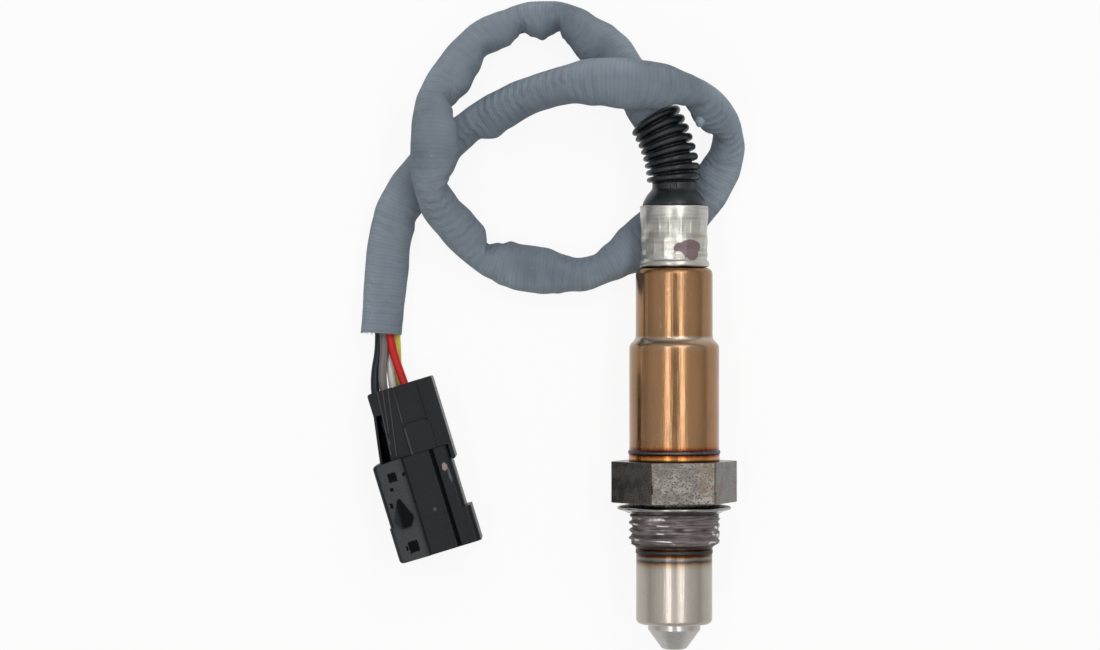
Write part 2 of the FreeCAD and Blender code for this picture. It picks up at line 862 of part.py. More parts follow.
# Thin wall between the bellows rings, and the plain spigot that goes into the woven sleeve
boot_root = bent("boot_root", "root_radius", BOOT_ANGLE)
spigot_sketch = bend_sketch("boot_spigot_outline", BOOT_ANGLE)
add_outline(
    spigot_sketch,
    [("0", "-1"), ("spigot_radius", "-1"), ("spigot_radius", "spigot_length"), ("0", "spigot_length")],
)
spin("boot_spigot", spigot_sketch)

# First bellows ring, its rim bevelled, then all the others about the bend's centre
ring_sketch = bend_sketch("bellows_ring_outline", FIRST_ANGLE)
add_outline(
    ring_sketch,
    [
        ("boot_bore + 0.2", "-bellows_rim / 2"),
        ("bellows_radius - bellows_bevel", "-bellows_rim / 2"),
        ("bellows_radius", "-bellows_rim / 2 + bellows_bevel"),
        ("bellows_radius", "bellows_rim / 2 - bellows_bevel"),
        ("bellows_radius - bellows_bevel", "bellows_rim / 2"),
        ("boot_bore + 0.2", "bellows_rim / 2"),
    ],
)
bellows_ring = spin("bellows_ring", ring_sketch)
bellows = boot.newObject("PartDesign::PolarPattern", "bellows_rings")
bellows.Originals = [bellows_ring]
bellows.Axis = (boot_root.Profile[0], ["Axis0"])
bellows.setExpression("Angle", formula(f"{STEP_ANGLE} * (bellows_count - 1)"))
bellows.setExpression("Occurrences", formula("bellows_count"))
boot.Tip = bellows

# Hollow of the boot: a cone under the dome, a bent bore, a straight one through the spigot
hollow_start = f"({CRIMP_TOP} + 0.2)"
revolve(
    boot,
    "dome_hollow",
    [
        ("0", hollow_start),
        ("dome_radius - dome_wall - 0.4", hollow_start),
        ("boot_bore", f"{DOME_TOP} - 0.4"),
        ("boot_bore", BEND_START),
        ("0", BEND_START),
    ],
    "PartDesign::Groove",
)
bent("boot_bore_bend", "boot_bore", BOOT_ANGLE, "PartDesign::Groove")
spigot_bore_sketch = bend_sketch("spigot_bore_outline", BOOT_ANGLE)
add_rectangle(spigot_bore_sketch, "0", "boot_bore", "0", "spigot_length + 1")
spin("spigot_bore", spigot_bore_sketch, "PartDesign::Groove")
for colour, wire in WIRES.items():
    hole = new_sketch(boot, f"wire_hole_outline_{colour}", "XZ_Plane", PLUG_START, True)
    add_circle(hole, *hole_place(wire), "wire_diameter / 2 + wire_fit / 2")
    pocket(boot, f"wire_hole_{colour}", hole, f"{hollow_start} + 0.1 - {PLUG_START}")
roll = FreeCAD.Rotation(FreeCAD.Vector(0, 1, 0), -number("bend_roll"))
boot.Placement = FreeCAD.Placement(FreeCAD.Vector(), roll)


def cord_route(points):
    """Straight runs joined by tangent arcs in one wire, with the radius of each arc."""
    edges = []
    radii = []
    here = points[0]
    for before, corner, after in zip(points, points[1:], points[2:]):
        arriving = (corner - before).normalize()
        leaving = (after - corner).normalize()
        half_turn = arriving.getAngle(leaving) / 2
        reach = 0.45 * min((corner - before).Length, (after - corner).Length)
        radius = reach / math.tan(half_turn)
        inward = (leaving - arriving).normalize()
        middle = corner + inward * (radius / math.cos(half_turn) - radius)
        start = corner - arriving * reach
        end = corner + leaving * reach
        edges.append(Part.LineSegment(here, start).toShape())
        edges.append(Part.Arc(start, middle, end).toShape())
        radii.append(radius)
        here = end
    edges.append(Part.LineSegment(here, points[-1]).toShape())
    return Part.Wire(edges), radii


def facing(heading):
    """A rotation that takes Z to a heading and X to its level sideways direction."""
    side = FreeCAD.Vector(0, 0, 1).cross(heading).normalize()
    return FreeCAD.Rotation(side, heading.cross(side), heading, "ZXY")


def swept_cord(name, points, radius):
    """A round section swept along a route."""
    wire, radii = cord_route(points)
    route = doc.addObject("Part::Feature", name + "_route")
    route.Shape = wire
    section = doc.addObject("Part::Circle", name + "_section")
    section.setExpression("Radius", formula(radius))
    heading = (points[1] - points[0]).normalize()
    section.Placement = FreeCAD.Placement(points[0], facing(heading))
    swept = doc.addObject("Part::Sweep", name)
    swept.Sections = [section]
    swept.Spine = (route, [f"Edge{edge}" for edge in range(1, len(wire.Edges) + 1)])
    swept.Solid = True
    swept.Frenet = False
    doc.recompute()
    expected = math.pi * number(radius) ** 2 * wire.Length
    print(
        f"{name}: length {wire.Length:.1f}, smallest radius {min(radii):.1f},",
        f"volume {swept.Shape.Volume:.1f} of {expected:.1f}",
    )
    return swept


# Start of the woven sleeve: at the last bellows ring, along the boot's own direction
turn = math.radians(number(BOOT_ANGLE))
bend = number("bend_radius")
boot_way = FreeCAD.Vector(-math.sin(turn), math.cos(turn), 0)
boot_end = FreeCAD.Vector(bend * (math.cos(turn) - 1), number(BEND_START) + bend * math.sin(turn), 0)
harness_start = roll.multVec(boot_end)
harness_way = roll.multVec(boot_way)

# Woven sleeve: round from the boot to the sensor's side, squashed under the crimp, round to its cut end
flat_level = number("table_level + flat_height / 2")
flat_points = [FreeCAD.Vector(across, along, flat_level) for across, along in ROUTE_FLAT]
points_in = [harness_start, harness_start + harness_way * 7.5]
points_in += [FreeCAD.Vector(*place) for place in ROUTE_IN]
points_out = [FreeCAD.Vector(*place) for place in ROUTE_OUT]
harness_in = swept_cord("harness_in", points_in, "harness_diameter / 2")
harness_out = swept_cord("harness_out", points_out, "harness_diameter / 2")
stations = [points_in[-1]] + flat_points + [points_out[0]]
headings = [points_in[-1] - points_in[-2]]
headings += [after - before for before, after in zip(stations, stations[2:])]
headings.append(points_out[1] - points_out[0])
flat_sections = []
for index, (station, heading) in enumerate(zip(stations, headings)):
    if 0 < index < len(stations) - 1:
        section = doc.addObject("Part::Ellipse", f"flat_section_{index}")
        section.setExpression("MajorRadius", formula("flat_width / 2"))
        section.setExpression("MinorRadius", formula("flat_height / 2"))
        heading.z = 0
    else:
        section = doc.addObject("Part::Circle", f"flat_section_{index}")
        section.setExpression("Radius", formula("harness_diameter / 2"))
    section.Placement = FreeCAD.Placement(station, facing(heading.normalize()))
    flat_sections.append(section)
harness_flat = doc.addObject("Part::Loft", "harness_flat")
harness_flat.Sections = flat_sections
harness_flat.Solid = True
harness_whole = doc.addObject("Part::MultiFuse", "harness_whole")
harness_whole.Shapes = [harness_in, harness_flat, harness_out]
harness_end = points_out[-1]
end_way = (points_out[-1] - points_out[-2]).normalize()
boot_end_bore = doc.addObject("Part::Cylinder", "harness_boot_bore")
boot_end_bore.setExpression("Radius", formula("spigot_radius + part_fit"))
boot_end_bore.setExpression("Height", formula("spigot_length + part_fit"))
boot_end_bore.Placement = FreeCAD.Placement(harness_start, facing(harness_way))
cut_end_bore = doc.addObject("Part::Cylinder", "harness_end_bore")
cut_end_bore.setExpression("Radius", formula("spigot_radius + part_fit"))
cut_end_bore.setExpression("Height", formula("open_end"))
cut_end_bore.Placement = FreeCAD.Placement(harness_end, facing(end_way * -1))
harness_bored = doc.addObject("Part::Cut", "harness_bored")
harness_bored.Base = harness_whole
harness_bored.Tool = boot_end_bore
harness = doc.addObject("Part::Cut", "harness_sleeve")
harness.Base = harness_bored
harness.Tool = cut_end_bore
harness.Label = "harness_sleeve"
NODES.append(harness)
doc.recompute()

# Plug: its own frame has X across, -Y towards the mouth and Z up; it lies flat on the table
plug_place = FreeCAD.Placement(
    point("plug_x", "plug_y", "table_level + plug_height / 2"),
    FreeCAD.Rotation(FreeCAD.Vector(0, 0, 1), number("plug_turn")),
)


def cavity_place(wire):
    """Across and up in the plug's frame to a wire's cavity."""
    return f"({wire['cavity']} * cavity_pitch - cavity_shift)", f"{wire['level']} * cavity_row"


# Wires: one length from each contact into the woven sleeve, one from the sleeve into the plug
for colour, wire in WIRES.items():
    hole_across, hole_up = hole_place(wire)
    across = -wire["column"] * number("bundle_pitch")
    up = wire["row"] * number("bundle_row")
    swing = (bend + across) / math.cos(turn / 4)
    corners = [
        FreeCAD.Vector(
            swing * math.cos(share * turn) - bend,
            number(BEND_START) + swing * math.sin(share * turn),
            up,
        )
        for share in (0.25, 0.75)
    ]
    outward = FreeCAD.Vector(math.cos(turn), math.sin(turn), 0)
    last = boot_end + outward * across + boot_way * number("spigot_length + part_fit")
    last.z = up
    boot_points = [
        point(hole_across, CONTACT_END, hole_up),
        point(hole_across, f"{CRIMP_TOP} + 1.1", hole_up),
        corners[0],
        corners[1],
        last,
    ]
    boot_points = [roll.multVec(place) for place in boot_points]
    lead_in = swept_cord(f"lead_in_{colour}", boot_points, "wire_diameter / 2")

    side = FreeCAD.Vector(0, 0, 1).cross(end_way)
    offset = side * -across + FreeCAD.Vector(0, 0, up)
    deep = harness_end - end_way * number("open_end") + offset
    mouth = harness_end + end_way * number("fan_length") + offset
    cavity_across, cavity_up = cavity_place(wire)
    plug_points = [
        point(f"{cavity_across} + {wire['sway']}", "-entry_depth", wire["entry"]),
        point(cavity_across, "-cavity_lead", cavity_up),
        point(cavity_across, "-terminal_start", cavity_up),
    ]
    plug_points = [plug_place.multVec(place) for place in plug_points]
    lead_out = swept_cord(f"lead_out_{colour}", [deep, mouth] + plug_points, "wire_diameter / 2")

    wire_node = doc.addObject("Part::Compound", f"wire_{colour}")
    wire_node.Links = [lead_in, lead_out]
    wire_node.Label = f"wire_{colour}"
    NODES.append(wire_node)


def plug_body(label):
    body = new_body(label)
    body.Placement = plug_place
    return body


def footprint(body, name, corners, low, high):
    """A level slab of the plug: corners across and along, from one height to another."""
    outline = new_sketch(body, name + "_outline", "XY_Plane", low)
    add_outline(outline, corners)
    return pad(body, name, outline, f"{high} - ({low})")


def cross_section(body, name, corners, start, end, cut=False):
    """A length of the plug with one section: corners across and up, between two depths."""
    outline = new_sketch(body, name + "_outline", "XZ_Plane", f"-({start})", True)
    add_outline(outline, corners)
    length = f"{end} - ({start})"
    return pocket(body, name, outline, length, True) if cut else pad(body, name, outline, length)


def box_section(body, name, left, right, low, high, start, end, cut=False):
    corners = [(left, low), (right, low), (right, high), (left, high)]
    return cross_section(body, name, corners, start, end, cut)


# Plug housing: tray-shaped shell with a stepped and grooved top, a wider mouth and a locking ramp
hood = plug_body("connector_hood")
top = "(plug_height / 2)"
band_top = f"({top} - strip_face_step)"
strip_right = "(strip_face_width - hood_left)"
groove_middle = "(groove_left + groove_width / 2)"


def hood_outline(left, right, high):
    lower_band = f"{high} - strip_face_step"
    return [
        (f"-{left}", f"-{top}"),
        (right, f"-{top}"),
        (right, lower_band),
        ("groove_left + groove_width", lower_band),
        (groove_middle, f"{lower_band} - groove_depth"),
        ("groove_left", lower_band),
        (f"{strip_right} + strip_face_step", lower_band),
        (strip_right, high),
        (f"-{left}", high),
    ]


def round_sides(name, left, right):
    """Round the long edges of the shell at its left and right sides."""
    doc.recompute()
    sides = (-number(left), number(right))
    long_edges = edges_along(
        hood.Tip.Shape,
        FreeCAD.Vector(0, 1, 0),
        lambda middle: min(abs(middle.x - side) for side in sides) < 0.001,
    )
    dress_edges(hood, name, "hood_corner", long_edges)


cross_section(hood, "hood_shell", hood_outline("hood_left", "hood_right", top), "hood_start", "hood_end")
round_sides("hood_corners", "hood_left", "hood_right")
wide_left = "(hood_left + flare_left)"
wide_right = "(hood_right + flare_right)"
wide = hood_outline(wide_left, wide_right, f"({top} + flare_up)")
cross_section(hood, "hood_mouth", wide, "flare_start", "hood_end")
round_sides("mouth_corners", wide_left, wide_right)
inner = ("-hood_left + hood_wall", "hood_right - hood_wall", f"-{top} + hood_wall", f"{band_top} - hood_wall")
box_section(hood, "rear_pocket", *inner, "hood_start", "hood_start + rear_pocket", True)
box_section(hood, "mouth_cavity", *inner, "hood_end - front_pocket", "hood_end", True)


def cavities():
    """Name, column and row of the six cavities; the sixth takes the trim resistor's terminal."""
    for colour, wire in WIRES.items():
        yield (colour, *cavity_place(wire))
    yield ("trim", *cavity_place({"cavity": -1, "level": -1}))


def square(across, up, half):
    return (
        f"{across} - {half}",
        f"{across} + {half}",
        f"{up} - {half}",
        f"{up} + {half}",
    )


seal_start = "(terminal_start - seal_length - part_fit)"
partition = "(hood_start + rear_pocket)"
partition_end = "(hood_end - front_pocket)"
for name, across, up in cavities():
    hole = new_sketch(hood, f"seal_hole_outline_{name}", "XZ_Plane", f"-{partition}", True)
    add_circle(hole, across, up, "seal_radius + part_fit / 2")
    pocket(hood, f"seal_hole_{name}", hole, f"terminal_start - {partition}", True)
    sides = square(across, up, "(terminal_size / 2 + part_fit)")
    box_section(hood, f"terminal_hole_{name}", *sides, "terminal_start", f"{partition_end} + 0.5", True)

# Locking ramp on the flat strip: a point at the rear, widest near the mouth, then a narrow steep foot
ramp_sections = []
for name, depth, half_width, height in (
    ("ramp_point", "ramp_start", "ramp_width / 20", "ramp_height / 10"),
    ("ramp_middle", "ramp_widest", "ramp_width / 2", "ramp_height * 0.8"),
    ("ramp_foot", "ramp_end", "ramp_width / 4", "ramp_height"),
):
    section = new_sketch(hood, name, "XZ_Plane", f"-{depth}", True)
    middle = "(ramp_offset - hood_left)"
    add_rectangle(
        section, f"{middle} - {half_width}", f"{middle} + {half_width}", f"{top} - 0.2", f"{top} + {height}"
    )
    ramp_sections.append(section)
ramp = hood.newObject("PartDesign::AdditiveLoft", "locking_ramp")
ramp.Profile = ramp_sections[0]
ramp.Sections = ramp_sections[1:]
ramp.Ruled = True

# Wire cover: floor, two fins and a splayed side wall under a ribbed roof with a window at its left, a
# solid right-hand block, a raised tab, a skirt outside the housing and a tongue inside it
cover = plug_body("connector_wire_cover")
cover_low = "(-cover_height / 2)"
cover_top = "(cover_height / 2)"
floor_top = f"({cover_low} + cover_floor)"
roof_top = f"({cover_top} - roof_drop)"
roof_low = f"({roof_top} - roof_wall)"
cover_end = "(-hood_start + part_fit)"
footprint(
    cover,
    "cover_floor",
    [
        ("-cover_half_width", "0"),
        ("cover_half_width", "0"),
        ("cover_half_width", cover_end),
        ("-cover_half_width - cover_splay", cover_end),
        ("-cover_half_width", "-window_start"),
    ],
    cover_low,
    floor_top,
)
footprint(
    cover,
    "cover_block",
    [
        ("roof_end", "0"),
        ("cover_half_width", "0"),
        ("cover_half_width", cover_end),
        ("roof_end", cover_end),
    ],
    cover_low,
    cover_top,
)
footprint(
    cover,
    "cover_skirt",
    [
        ("cover_half_width - cover_wall", "-hood_start * 0.8"),
        ("cover_half_width", "-hood_start * 0.8"),
        ("cover_half_width", "-cover_skirt"),
        ("cover_half_width - cover_wall", "-cover_skirt"),
    ],
    cover_low,
    cover_top,
)
footprint(
    cover,
    "cover_side",
    [
        ("-cover_half_width", "0"),
        ("-cover_half_width + fin_width", "0"),
        ("-cover_half_width + fin_width", "-window_start"),
        ("-cover_half_width - cover_splay + fin_width", cover_end),
        ("-cover_half_width - cover_splay", cover_end),
        ("-cover_half_width", "-window_start"),
    ],
    cover_low,
    roof_top,
)
fins = (
    ("cover_fin_middle", "-cavity_shift - cavity_pitch / 2 - fin_width / 2"),
    ("cover_fin_right", "-cavity_shift + cavity_pitch / 2 - fin_width / 2"),
)
for name, left in fins:
    footprint(
        cover,
        name,
        [
            (left, "0"),
            (f"{left} + fin_width", "0"),
            (f"{left} + fin_width", cover_end),
            (left, cover_end),
        ],
        cover_low,
        f"{roof_low} + roof_wall / 2",
    )
footprint(
    cover,
    "cover_roof",
    [
        ("-cover_half_width", "0"),
        ("roof_end + 0.5", "0"),
        ("roof_end + 0.5", cover_end),
        ("-cover_half_width + window_width - window_splay", cover_end),
        ("-cover_half_width + window_width", "-window_start"),
        ("-cover_half_width", "-window_start"),
    ],
    roof_low,
    roof_top,
)
for index, (start_across, end_across, end_along) in enumerate(RIBS, start=1):
    footprint(
        cover,
        f"roof_rib_{index}",
        [
            (f"{start_across} - rib_width / 2", "0"),
            (f"{start_across} + rib_width / 2", "0"),
            (f"{end_across} + rib_width / 2", f"-{end_along}"),
            (f"{end_across} - rib_width / 2", f"-{end_along}"),
        ],
        f"{roof_top} - roof_wall / 2",
        f"{roof_top} + rib_height",
    )
footprint(
    cover,
    "roof_tab",
    [
        ("-tab_left", "-tab_start - tab_corner"),
        ("-tab_left + tab_corner", "-tab_start"),
        ("tab_right - tab_corner", "-tab_start"),
        ("tab_right", "-tab_start - tab_corner"),
        ("tab_right", cover_end),
        ("-tab_left", cover_end),
    ],
    f"{roof_top} - roof_wall / 2",
    f"{cover_top} + tab_rise",
)
tongue_low = f"(-{top} + hood_wall + part_fit)"
footprint(
    cover,
    "cover_tongue",
    [
        ("-hood_left + hood_wall + cover_splay", "-hood_start * 0.8"),
        ("hood_right - hood_wall - part_fit", "-hood_start * 0.8"),
        ("hood_right - hood_wall - part_fit", "-hood_start - cover_tongue"),
        ("-hood_left + hood_wall + cover_splay", "-hood_start - cover_tongue"),
    ],
    tongue_low,
    f"{tongue_low} + 1",
)

# Terminal lock: a plate with a window for each terminal, and one for the trim resistor
lock = plug_body("terminal_lock")
lock_start = f"({partition_end} + part_fit)"
lock_end = f"({lock_start} + lock_thickness)"
box_section(
    lock,
    "lock_plate",
    "-hood_left + hood_wall + part_fit",
    "hood_right - hood_wall - part_fit",
    f"-{top} + hood_wall + part_fit",
    f"{band_top} - hood_wall - part_fit",
    lock_start,
    lock_end,
)
for name, across, up in cavities():
    sides = square(across, up, "(terminal_size / 2 + part_fit)")
    box_section(lock, f"lock_window_{name}", *sides, lock_start, lock_end, True)
trim_across, trim_up = cavity_place({"cavity": -1, "level": -1})
resistor_low = f"({trim_up} + terminal_size / 2)"
resistor_high = f"(-{trim_up} - terminal_size / 2)"
box_section(
    lock,
    "resistor_window",
    f"{trim_across} - terminal_size / 2",
    f"{trim_across} + terminal_size / 2",
    f"{resistor_low} - part_fit",
    f"{resistor_high} + part_fit",
    lock_start,
    lock_end,
    True,
)

# Trim resistor: a chip held between the two terminals of the first column
resistor = plug_body("trim_resistor")
box_section(
    resistor,
    "resistor_chip",
    f"{trim_across} - terminal_size / 3",
    f"{trim_across} + terminal_size / 3",
    resistor_low,
    resistor_high,
    lock_start,
    lock_end,
)

# Terminals: a square box behind a flat blade
for name, across, up in cavities():
    terminal = plug_body(f"terminal_{name}")
    sides = square(across, up, "(terminal_size / 2)")
    box_end = "(terminal_start + terminal_box)"
    box_section(terminal, f"terminal_box_{name}", *sides, "terminal_start", box_end)
    box_section(
        terminal,
        f"terminal_blade_{name}",
        f"{across} - blade_width / 2",
        f"{across} + blade_width / 2",
        f"{up} - blade_thickness / 2",
        f"{up} + blade_thickness / 2",
        box_end,
        f"{box_end} + terminal_blade",
    )

# Rubber seals round the wires, and the blank one in the sixth cavity
for name, across, up in cavities():
    seal = plug_body("cavity_plug" if name == "trim" else f"wire_seal_{name}")
    ring_outline = new_sketch(seal, f"seal_outline_{name}", "XZ_Plane", f"-{seal_start}", True)
    add_circle(ring_outline, across, up, "seal_radius")
    if name != "trim":
        add_circle(ring_outline, across, up, "wire_diameter / 2")
    pad(seal, f"seal_{name}", ring_outline, "seal_length")

doc.recompute()
os.makedirs("parts", exist_ok=True)
for thing in doc.Objects:
    if "Invalid" in thing.State or "Error" in thing.State:
        raise RuntimeError(f"{thing.Name} did not recompute: {thing.getStatusString()}")
for node in NODES:
    if node.Shape.isNull() or not node.Shape.isValid():
        raise RuntimeError(f"{node.Label} has no sound shape")
    box = node.Shape.BoundBox
    print(
        f"{node.Label}: {len(node.Shape.Solids)} solid, {node.Shape.Volume:.1f} mm3,",
        f"X {box.XMin:.2f} {box.XMax:.2f} Y {box.YMin:.2f} {box.YMax:.2f} Z {box.ZMin:.2f} {box.ZMax:.2f}",
    )
    node.Shape.exportStep(f"parts/{node.Label}.step")
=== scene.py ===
import math

import bmesh
import bpy
from mathutils import Matrix, Vector, noise


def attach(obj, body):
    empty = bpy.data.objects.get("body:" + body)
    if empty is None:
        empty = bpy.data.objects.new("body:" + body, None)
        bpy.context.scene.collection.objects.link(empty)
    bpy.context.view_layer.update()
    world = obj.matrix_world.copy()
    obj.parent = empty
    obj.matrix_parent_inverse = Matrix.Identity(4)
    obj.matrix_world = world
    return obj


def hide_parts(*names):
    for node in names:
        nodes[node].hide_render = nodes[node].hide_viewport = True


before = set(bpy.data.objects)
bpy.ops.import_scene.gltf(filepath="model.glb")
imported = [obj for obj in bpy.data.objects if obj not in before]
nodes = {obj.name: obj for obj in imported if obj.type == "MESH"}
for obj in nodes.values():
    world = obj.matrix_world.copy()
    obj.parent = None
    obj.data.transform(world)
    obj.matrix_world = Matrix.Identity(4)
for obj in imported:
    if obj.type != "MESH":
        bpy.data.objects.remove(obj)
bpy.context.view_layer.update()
MM = 0.001
TABLE = -11.74 * MM

# Camera: straight above the sensor, as the photograph was taken, its top edge towards +Y.
# It hangs 65 cm above the level of the sensor's axis and has a long lens.
CAMERA_PLACE = (-24.6 * MM, 37.23 * MM, 650.0 * MM)
LENS_LENGTH = 107.4
SENSOR_WIDTH = 36
camera_data = bpy.data.cameras.new("camera_above")
camera_data.sensor_width = SENSOR_WIDTH
camera_data.lens = LENS_LENGTH
camera = bpy.data.objects.new("camera_above", camera_data)
camera.location = CAMERA_PLACE
bpy.context.scene.collection.objects.link(camera)
bpy.context.scene.camera = camera


# Woven sleeve: a limp grey glass-fibre tube, 8.4 mm across and 28 cm long, drawn over the five wires.
# It is pushed on the boot's spigot, lies in one loop on the table, runs squashed under the crimp sleeve,
# crosses over its own start and ends cut off a centimetre before the plug.
SLEEVE_ROUTE = [
    (-0.003981, 0.078438, -0.001067),
    (-0.007828, 0.084793, -0.002098),
    (-0.0146, 0.0937, -0.0045),
    (-0.0202, 0.0990, -0.0063),
    (-0.0287, 0.0992, -0.00754),
    (-0.0376, 0.0957, -0.0073),
    (-0.0438, 0.0886, -0.0042),
    (-0.0476, 0.0802, 0.0012),
    (-0.0480, 0.0736, 0.0039),
    (-0.0484, 0.0676, 0.0039),
    (-0.0466, 0.0608, -0.0005),
    (-0.0401, 0.0518, -0.0069),
    (-0.0330, 0.0490, -0.00754),
    (-0.0245, 0.0488, -0.00754),
    (-0.0170, 0.0470, -0.00754),
    (-0.0098, 0.05105, -0.0080),
    (-0.0040, 0.0551, -0.00944),
    (0.0025, 0.0600, -0.00944),
    (0.0077, 0.0652, -0.0082),
    (0.0110, 0.0713, -0.0070),
    (0.0106, 0.0766, -0.0034),
    (0.00805, 0.0804, 0.0009),
    (0.00395, 0.08295, 0.0052),
    (-0.0039, 0.0845, 0.0092),
    (-0.0137, 0.0852, 0.0092),
    (-0.0211, 0.0846, 0.0048),
    (-0.0305, 0.0820, -0.0020),
    (-0.0395, 0.0778, -0.0073),
    (-0.0474, 0.0711, -0.00754),
    (-0.0534, 0.0633, -0.00754),
    (-0.0568, 0.0534, -0.00754),
    (-0.0579, 0.0442, -0.00754),
    (-0.05845, 0.03563, -0.00754),
]
# How far the tube reaches to the inside and the outside of its curves, by the distance from the boot
SLEEVE_REACH = [
    (0.0, 4.2, 4.2), (11.4, 4.3, 4.4), (15.0, 4.4, 4.8), (18.9, 5.2, 4.3), (23.8, 4.6, 2.95),
    (26.6, 4.1, 2.8), (28.6, 3.0, 2.9), (30.6, 3.9, 3.0), (32.8, 4.9, 3.05), (35.2, 3.9, 3.2),
    (37.2, 2.6, 3.15), (39.2, 3.4, 3.0), (41.0, 4.1, 3.15), (43.8, 3.8, 3.45), (47.3, 3.25, 3.65),
    (52.1, 4.2, 3.65), (57.1, 4.7, 3.95), (60.3, 3.7, 4.1), (63.0, 2.9, 4.1), (65.3, 3.7, 4.1),
    (68.8, 5.0, 4.1), (73.7, 5.6, 4.0), (76.6, 5.2, 3.95), (79.1, 3.6, 3.9), (81.6, 2.9, 3.8),
    (86.2, 3.6, 4.1), (91.4, 4.6, 3.5), (95.8, 4.7, 3.2), (99.8, 2.8, 3.2), (103.0, 3.7, 3.7),
    (105.3, 4.7, 4.4), (108.0, 4.4, 4.9), (112.8, 4.1, 5.4), (116.3, 3.25, 4.8), (119.7, 3.1, 3.7),
    (124.3, 3.2, 3.1), (128.0, 3.8, 3.8), (132.5, 4.9, 4.8), (136.5, 5.4, 5.3), (145.0, 5.5, 5.4),
    (150.6, 4.8, 4.8), (155.7, 4.0, 4.1), (160.4, 3.2, 3.55), (164.8, 2.7, 3.2), (167.0, 3.3, 3.1),
    (169.0, 4.5, 3.0), (173.0, 4.7, 3.0), (176.0, 3.7, 2.95), (178.5, 2.8, 3.15), (181.0, 3.1, 3.4),
    (186.0, 4.7, 4.2), (192.8, 5.5, 4.4), (199.3, 4.9, 4.5), (206.0, 3.6, 3.9), (214.2, 3.4, 3.9),
    (222.3, 4.1, 3.9), (225.3, 4.6, 3.8), (229.7, 3.1, 3.6), (234.4, 3.2, 4.0), (239.2, 4.5, 4.3),
    (242.8, 4.9, 4.4), (247.5, 4.3, 4.8), (252.4, 3.6, 4.95), (254.8, 3.95, 4.8), (258.0, 3.9, 4.6),
    (263.0, 4.5, 4.35), (267.0, 4.4, 4.1), (272.0, 4.25, 4.0), (279.5, 4.2, 4.1),
]
# Folds across the tube: distance, angle from its inner side over the top, half length, half angle, depth
SLEEVE_FOLDS = [
    (21.2, 70, 1.6, 60, 0.35), (28.6, 35, 1.5, 65, 0.75), (30.8, 80, 1.8, 40, -0.3),
    (37.2, 35, 1.6, 65, 0.75), (41.5, 70, 1.8, 50, 0.3), (47.3, 30, 1.8, 55, 0.5),
    (63.0, 30, 1.7, 60, 0.7), (60.5, 75, 2.2, 40, 0.25), (81.6, 30, 1.8, 60, 0.7),
    (79.5, 85, 2.2, 45, 0.3), (99.8, 30, 1.5, 70, 0.8), (97.0, 80, 2.0, 45, 0.3),
    (103.6, 60, 1.3, 40, 0.3), (118.0, 40, 2.2, 60, 0.5), (124.5, 90, 2.0, 60, 0.35),
    (128.8, 70, 1.5, 60, 0.4), (156.5, 40, 1.8, 60, 0.4), (164.8, 30, 1.8, 70, 0.6),
    (167.6, 20, 1.0, 60, 0.5), (177.6, 25, 1.5, 60, 0.6), (210.0, 60, 2.5, 60, 0.2),
    (216.0, 50, 2.0, 60, 0.2), (229.7, 30, 1.8, 60, 0.6), (233.0, 70, 1.8, 45, 0.25),
    (245.8, 60, 3.0, 60, 0.25), (252.4, 30, 1.8, 65, 0.5), (249.5, 110, 3.0, 40, 0.25),
    (262.0, 130, 3.5, 35, 0.2),
]
SLEEVE_SIDES = 48
SLEEVE_RADIUS = 4.2
SLEEVE_BORE = 3.75 * MM
SLEEVE_OPEN = 8.0 * MM
# Where it lies pressed under the crimp sleeve, in millimetres from the boot, and half its height there
PRESSED_AT = 141.0
PRESSED_HEIGHT = 2.3
LYING_BELOW = -6.9 * MM
LOWEST_YARN = TABLE + 0.02 * MM
FRAYED_ENDS = 72
# A fold stands out as a round lobe at the inside of the last bend
LOBE_PLACE = (5.35 * MM, 78.1 * MM, 3.3 * MM)
LOBE_REACH = (1.2 * MM, 2.0 * MM, 1.4 * MM)
LOBE_ALONG = 0.1695


def smooth_line(route):
    """Points along the smooth spline that a route controls, from its first control point on."""
    curve = bpy.data.curves.new("route", "CURVE")
    curve.dimensions = "3D"
    spline = curve.splines.new("NURBS")
    spline.points.add(len(route) - 1)
    for control, place in zip(spline.points, route):
        control.co = (*place, 1)
    spline.order_u = 3
    spline.use_endpoint_u = True
    spline.resolution_u = 24
    holder = bpy.data.objects.new("route", curve)
    bpy.context.scene.collection.objects.link(holder)
    bpy.context.view_layer.update()
    mesh = bpy.data.meshes.new_from_object(holder)
    places = [vertex.co.copy() for vertex in mesh.vertices]
    bpy.data.objects.remove(holder)
    bpy.data.meshes.remove(mesh)
    bpy.data.curves.remove(curve)
    if (places[0] - Vector(route[0])).length > (places[-1] - Vector(route[0])).length:
        places.reverse()
    return places


def thinned(places, spacing):
    """The points of a line that lie at least a spacing apart, with its two ends."""
    kept = [places[0]]
    for place in places[1:-1]:
        if (place - kept[-1]).length >= spacing and (place - places[-1]).length > spacing / 2:
            kept.append(place)
    return kept + [places[-1]]


def lengths_along(places):
    reached = [0.0]
    for before, after in zip(places, places[1:]):
        reached.append(reached[-1] + (after - before).length)
    return reached


def crossways(places, index):
    """A matrix at a point of a line: X to its left, Y up, Z along it."""
    before, after = places[max(index - 1, 0)], places[min(index + 1, len(places) - 1)]
    along = (after - before).normalized()
    left = Vector((0, 0, 1)).cross(along).normalized()
    matrix = Matrix((left, along.cross(left), along)).transposed().to_4x4()
    matrix.translation = places[index]
    return matrix


def in_scene(name, bm, *materials):
    """A new object from a bmesh, with its materials."""
    mesh = bpy.data.meshes.new(name)
    bm.to_mesh(mesh)
    bm.free()
    for material in materials:
        mesh.materials.append(material)
    piece = bpy.data.objects.new(name, mesh)
    bpy.context.scene.collection.objects.link(piece)
    return piece


